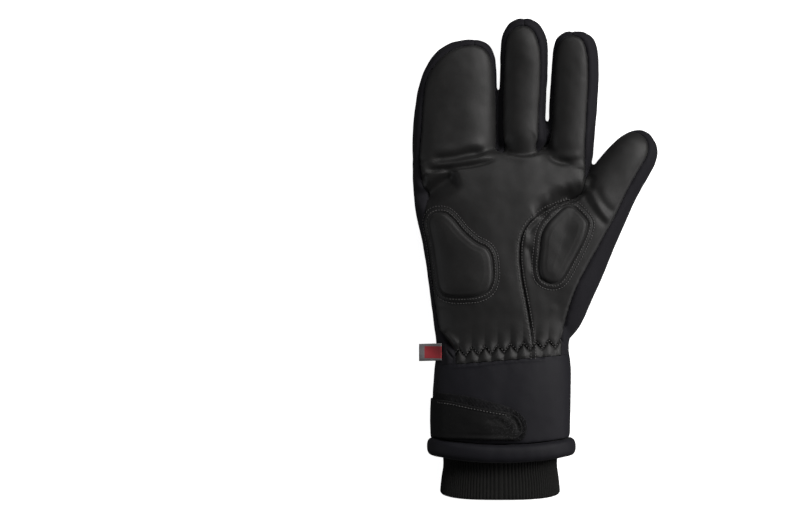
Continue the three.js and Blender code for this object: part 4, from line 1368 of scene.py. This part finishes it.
looks = {
    "leather": {"grain": "leather", "dark": (0.0062, 0.0060, 0.0060), "light": (0.0112, 0.0109, 0.0109),
                "scale": 1050.0, "bump": 0.16, "depth": 0.00012,
                "rough": (0.5, 0.62), "sheen": 0.04, "specular": 0.36, "wear": 0.10,
                "dust": (0.06, 0.058, 0.057)},
    "softshell_black": {"grain": "weave", "dark": (0.0066, 0.0062, 0.0084), "light": (0.0115, 0.0108, 0.0142),
                        "scale": 6500.0, "bump": 0.28, "depth": 0.00012,
                        "rough": (0.7, 0.85), "sheen": 0.03, "specular": 0.18, "wear": 0.12,
                        "dust": (0.03, 0.03, 0.034)},
    "softshell_grey": {"grain": "weave", "dark": (0.040, 0.037, 0.038), "light": (0.052, 0.048, 0.049),
                       "scale": 6500.0, "bump": 0.28, "depth": 0.00012,
                       "rough": (0.75, 0.88), "sheen": 0.05, "specular": 0.2, "wear": 0.10,
                       "dust": (0.09, 0.086, 0.086)},
    "neoprene": {"grain": "weave", "dark": (0.0050, 0.0048, 0.0074), "light": (0.0076, 0.0073, 0.0108),
                 "scale": 9000.0, "bump": 0.16, "depth": 0.0001,
                 "rough": (0.6, 0.72), "sheen": 0.03, "specular": 0.22, "wear": 0.08,
                 "dust": (0.03, 0.03, 0.036)},
    "strap_fabric": {"grain": "weave", "dark": (0.0022, 0.0022, 0.0023), "light": (0.0042, 0.0042, 0.0043),
                     "scale": 4200.0, "bump": 0.4, "depth": 0.00016,
                     "rough": (0.55, 0.75), "sheen": 0.03, "specular": 0.16, "wear": 0.12,
                     "dust": (0.035, 0.035, 0.036)},
    # the hook tape's near-black is partly its own colour and partly painted shade: over the band above the
    # strap it stands for the strap's shadow on the gauntlet
    "hook_tape": {"grain": "weave", "dark": (0.0014, 0.0014, 0.0017), "light": (0.004, 0.004, 0.0045),
                  "scale": 3000.0, "bump": 0.9, "depth": 0.0003,
                  "rough": (0.7, 0.95), "sheen": 0.02, "specular": 0.1, "wear": 0.25,
                  "dust": (0.09, 0.09, 0.095)},
    "rib_knit": {"grain": "weave", "dark": (0.0075, 0.0075, 0.0072), "light": (0.0135, 0.0135, 0.0128),
                 "scale": 3600.0, "bump": 0.4, "depth": 0.00016,
                 "rough": (0.85, 0.97), "sheen": 0.05, "specular": 0.12, "wear": 0.12,
                 "dust": (0.03, 0.03, 0.028)},
    "thread": {"grain": "weave", "dark": (0.045, 0.043, 0.043), "light": (0.085, 0.082, 0.082),
               "scale": 9000.0, "bump": 0.2, "depth": 0.00005,
               "rough": (0.45, 0.6), "sheen": 0.1, "specular": 0.5, "wear": 0.0,
               "dust": (0.03, 0.03, 0.03)},
    "label": {"grain": "weave", "dark": (0.12, 0.11, 0.115), "light": (0.17, 0.16, 0.165),
              "scale": 5200.0, "bump": 0.3, "depth": 0.0001,
              "rough": (0.6, 0.75), "sheen": 0.1, "specular": 0.4, "wear": 0.1,
              "dust": (0.25, 0.24, 0.24),
              "field": (0.30, 0.022, 0.030)},
}


def useGroup(tree, name, place, **values):
    node = tree.nodes.new("ShaderNodeGroup")
    node.node_tree = groups[name]
    tree.links.new(place, node.inputs["Vector"])
    for key, value in values.items():
        node.inputs[key].default_value = value
    return node


def mixColour(tree, factor, first, second):
    node = tree.nodes.new("ShaderNodeMix")
    node.data_type = "RGBA"
    tree.links.new(factor, node.inputs["Factor"])
    for socket, value in ((node.inputs["A"], first), (node.inputs["B"], second)):
        if hasattr(value, "is_output"):
            tree.links.new(value, socket)
        else:
            socket.default_value = (*value, 1)
    return node.outputs["Result"]


def newMaterial(name):
    look = looks[name]
    material = bpy.data.materials.new(name + "_finish")
    material.use_nodes = True
    tree = material.node_tree
    shader = tree.nodes["Principled BSDF"]
    place = tree.nodes.new("ShaderNodeTexCoord").outputs["Object"]
    if look["grain"] == "leather":
        grain = useGroup(tree, "leather", place, Cells=look["scale"])
        shade = grain.outputs["Shade"]
    else:
        grain = useGroup(tree, "weave", place, Yarns=look["scale"], Fuzz=0.5)
        shade = grain.outputs["Fleck"]
    spread = tree.nodes.new("ShaderNodeMapRange")
    spread.inputs["From Min"].default_value = 0.3
    spread.inputs["From Max"].default_value = 0.7
    tree.links.new(shade, spread.inputs["Value"])
    colour = mixColour(tree, spread.outputs[0], look["dark"], look["light"])
    wear = useGroup(tree, "wear", place, Amount=look["wear"])
    colour = mixColour(tree, wear.outputs["Mask"], colour, look["dust"])
    if name in ("strap_fabric", "hook_tape"):
        fray = useGroup(tree, "fray", place)
        colour = mixColour(tree, fray.outputs["Mask"], colour, frayShape["colour"])
    if name == "label":
        colour = mixColour(tree, labelField(tree, place), colour, look["field"])
    tree.links.new(colour, shader.inputs["Base Color"])
    rough = tree.nodes.new("ShaderNodeMapRange")
    rough.inputs["To Min"].default_value, rough.inputs["To Max"].default_value = look["rough"]
    tree.links.new(shade, rough.inputs["Value"])
    tree.links.new(rough.outputs[0], shader.inputs["Roughness"])
    shader.inputs["Sheen Weight"].default_value = look["sheen"]
    shader.inputs["Sheen Roughness"].default_value = 0.45
    shader.inputs["Specular IOR Level"].default_value = look["specular"]
    bump = tree.nodes.new("ShaderNodeBump")
    bump.inputs["Strength"].default_value = look["bump"]
    bump.inputs["Distance"].default_value = look["depth"]
    tree.links.new(grain.outputs["Height"], bump.inputs["Height"])
    tree.links.new(bump.outputs[0], shader.inputs["Normal"])
    return material


def labelField(tree, place):
    # the plain red field of the tab
    shape = labelShape
    split = tree.nodes.new("ShaderNodeSeparateXYZ")
    tree.links.new(place, split.inputs[0])
    field = None
    for axis, origin, low, high in (
            ("X", originX, shape["left"] + 5.5, shape["right"] + 4),
            ("Y", originY, shape["bottom"] + 2.6, shape["top"] - 2.6)):
        above = mathNode(tree, "GREATER_THAN", split.outputs[axis], origin + low * draftUnit)
        below = mathNode(tree, "LESS_THAN", split.outputs[axis], origin + high * draftUnit)
        both = multiplied(tree, above, below)
        field = both if field is None else multiplied(tree, field, both)
    return field


finishes = {name: newMaterial(name) for name in looks}


def finishPiece(piece, slotName, node=None, look=None):
    piece.data.materials.clear()
    piece.data.materials.append(finishes[look or slotName])
    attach(piece, "root")
    if node:
        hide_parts(node)


for name, piece in panels.items():
    finishPiece(piece, panelLooks[name], name)
finishPiece(heelPiece, "leather", "heel_pad")
finishPiece(thumbPiece, "leather", "thumb_pad")
finishPiece(strapPiece, "strap_fabric", "wrist_strap")
finishPiece(hookAndShadePiece, "hook_tape", "strap_hook")
finishPiece(rollPiece, "neoprene", "cuff_roll")
finishPiece(knitPiece, "rib_knit", "rib_cuff")
finishPiece(labelPiece, "label", "side_label")
for piece in (heelStitches, thumbStitches, seamStitches, elasticStitches):
    finishPiece(piece, "leather", look="thread")
finishPiece(strapStitches, "strap_fabric", look="thread")
report("materials given")

# floor, light and camera

stageShape = {
    "floorHalf": 6.0,  # m
    "floorColour": (0.84, 0.84, 0.84),
    "floorGlow": 0.92,
    "world": 0.05,
    "worldColour": (1.0, 1.0, 1.0),
}
lampShapes = {
    "mainLamp": {"place": (1.15, 0.7, 1.15), "size": 0.8, "power": 28.0, "colour": (1.0, 0.985, 0.975)},
    "topLamp": {"place": (0.1, 1.7, 1.3), "size": 1.0, "power": 10.0, "colour": (1.0, 1.0, 1.0)},
    "rightLamp": {"place": (1.7, -0.5, 0.4), "size": 0.6, "power": 10.0, "colour": (1.0, 0.98, 0.99)},
    "leftLamp": {"place": (-1.6, -0.4, 0.5), "size": 0.6, "power": 3.6, "colour": (0.96, 0.975, 1.0)},
}
cameraShape = {"across": -136, "along": 0, "height": 2.428, "lens": 180.0}


def buildStage():
    half = stageShape["floorHalf"]
    corners = [(-half, -half, 0), (half, -half, 0), (half, half, 0), (-half, half, 0)]
    floor = newPiece("studio_floor", corners, [(0, 1, 2, 3)], smooth=False)
    floor.location.z = -0.2 * mm
    material = bpy.data.materials.new("studio_floor_finish")
    material.use_nodes = True
    tree = material.node_tree
    shader = tree.nodes["Principled BSDF"]
    place = tree.nodes.new("ShaderNodeTexCoord").outputs["Object"]
    darker = tuple(c * 0.985 for c in stageShape["floorColour"])
    tone = mixColour(tree, noiseNode(tree, place, 3.0), stageShape["floorColour"], darker)
    tree.links.new(tone, shader.inputs["Base Color"])
    shader.inputs["Roughness"].default_value = 0.9
    shader.inputs["Specular IOR Level"].default_value = 0.1
    shader.inputs["Emission Color"].default_value = (1, 1, 1, 1)
    shader.inputs["Emission Strength"].default_value = stageShape["floorGlow"]
    floor.data.materials.append(material)
    # it stays white, but neither lights the glove nor shows in its sheen
    floor.visible_diffuse = False
    floor.visible_glossy = False
    world = bpy.data.worlds.new("studio")
    world.use_nodes = True
    back = world.node_tree.nodes["Background"]
    back.inputs["Color"].default_value = (*stageShape["worldColour"], 1)
    back.inputs["Strength"].default_value = stageShape["world"]
    bpy.context.scene.world = world


def buildLamps():
    for name, shape in lampShapes.items():
        data = bpy.data.lights.new(name, "AREA")
        data.size = shape["size"]
        data.energy = shape["power"]
        data.color = shape["colour"]
        lamp = bpy.data.objects.new(name, data)
        lamp.location = shape["place"]
        lamp.rotation_euler = (-Vector(shape["place"])).to_track_quat("-Z", "Y").to_euler()
        bpy.context.scene.collection.objects.link(lamp)


def buildCamera():
    shape = cameraShape
    data = bpy.data.cameras.new("photoCamera")
    data.sensor_width = 36.0
    data.lens = shape["lens"]
    data.clip_end = 20.0
    camera = bpy.data.objects.new("photoCamera", data)
    x, y = originX + shape["across"] * draftUnit, originY + shape["along"] * draftUnit
    camera.location = (x, y, shape["height"])
    bpy.context.scene.collection.objects.link(camera)
    bpy.context.scene.camera = camera


buildStage()
buildLamps()
buildCamera()
bpy.context.scene.view_settings.view_transform = "Standard"
report("stage set")
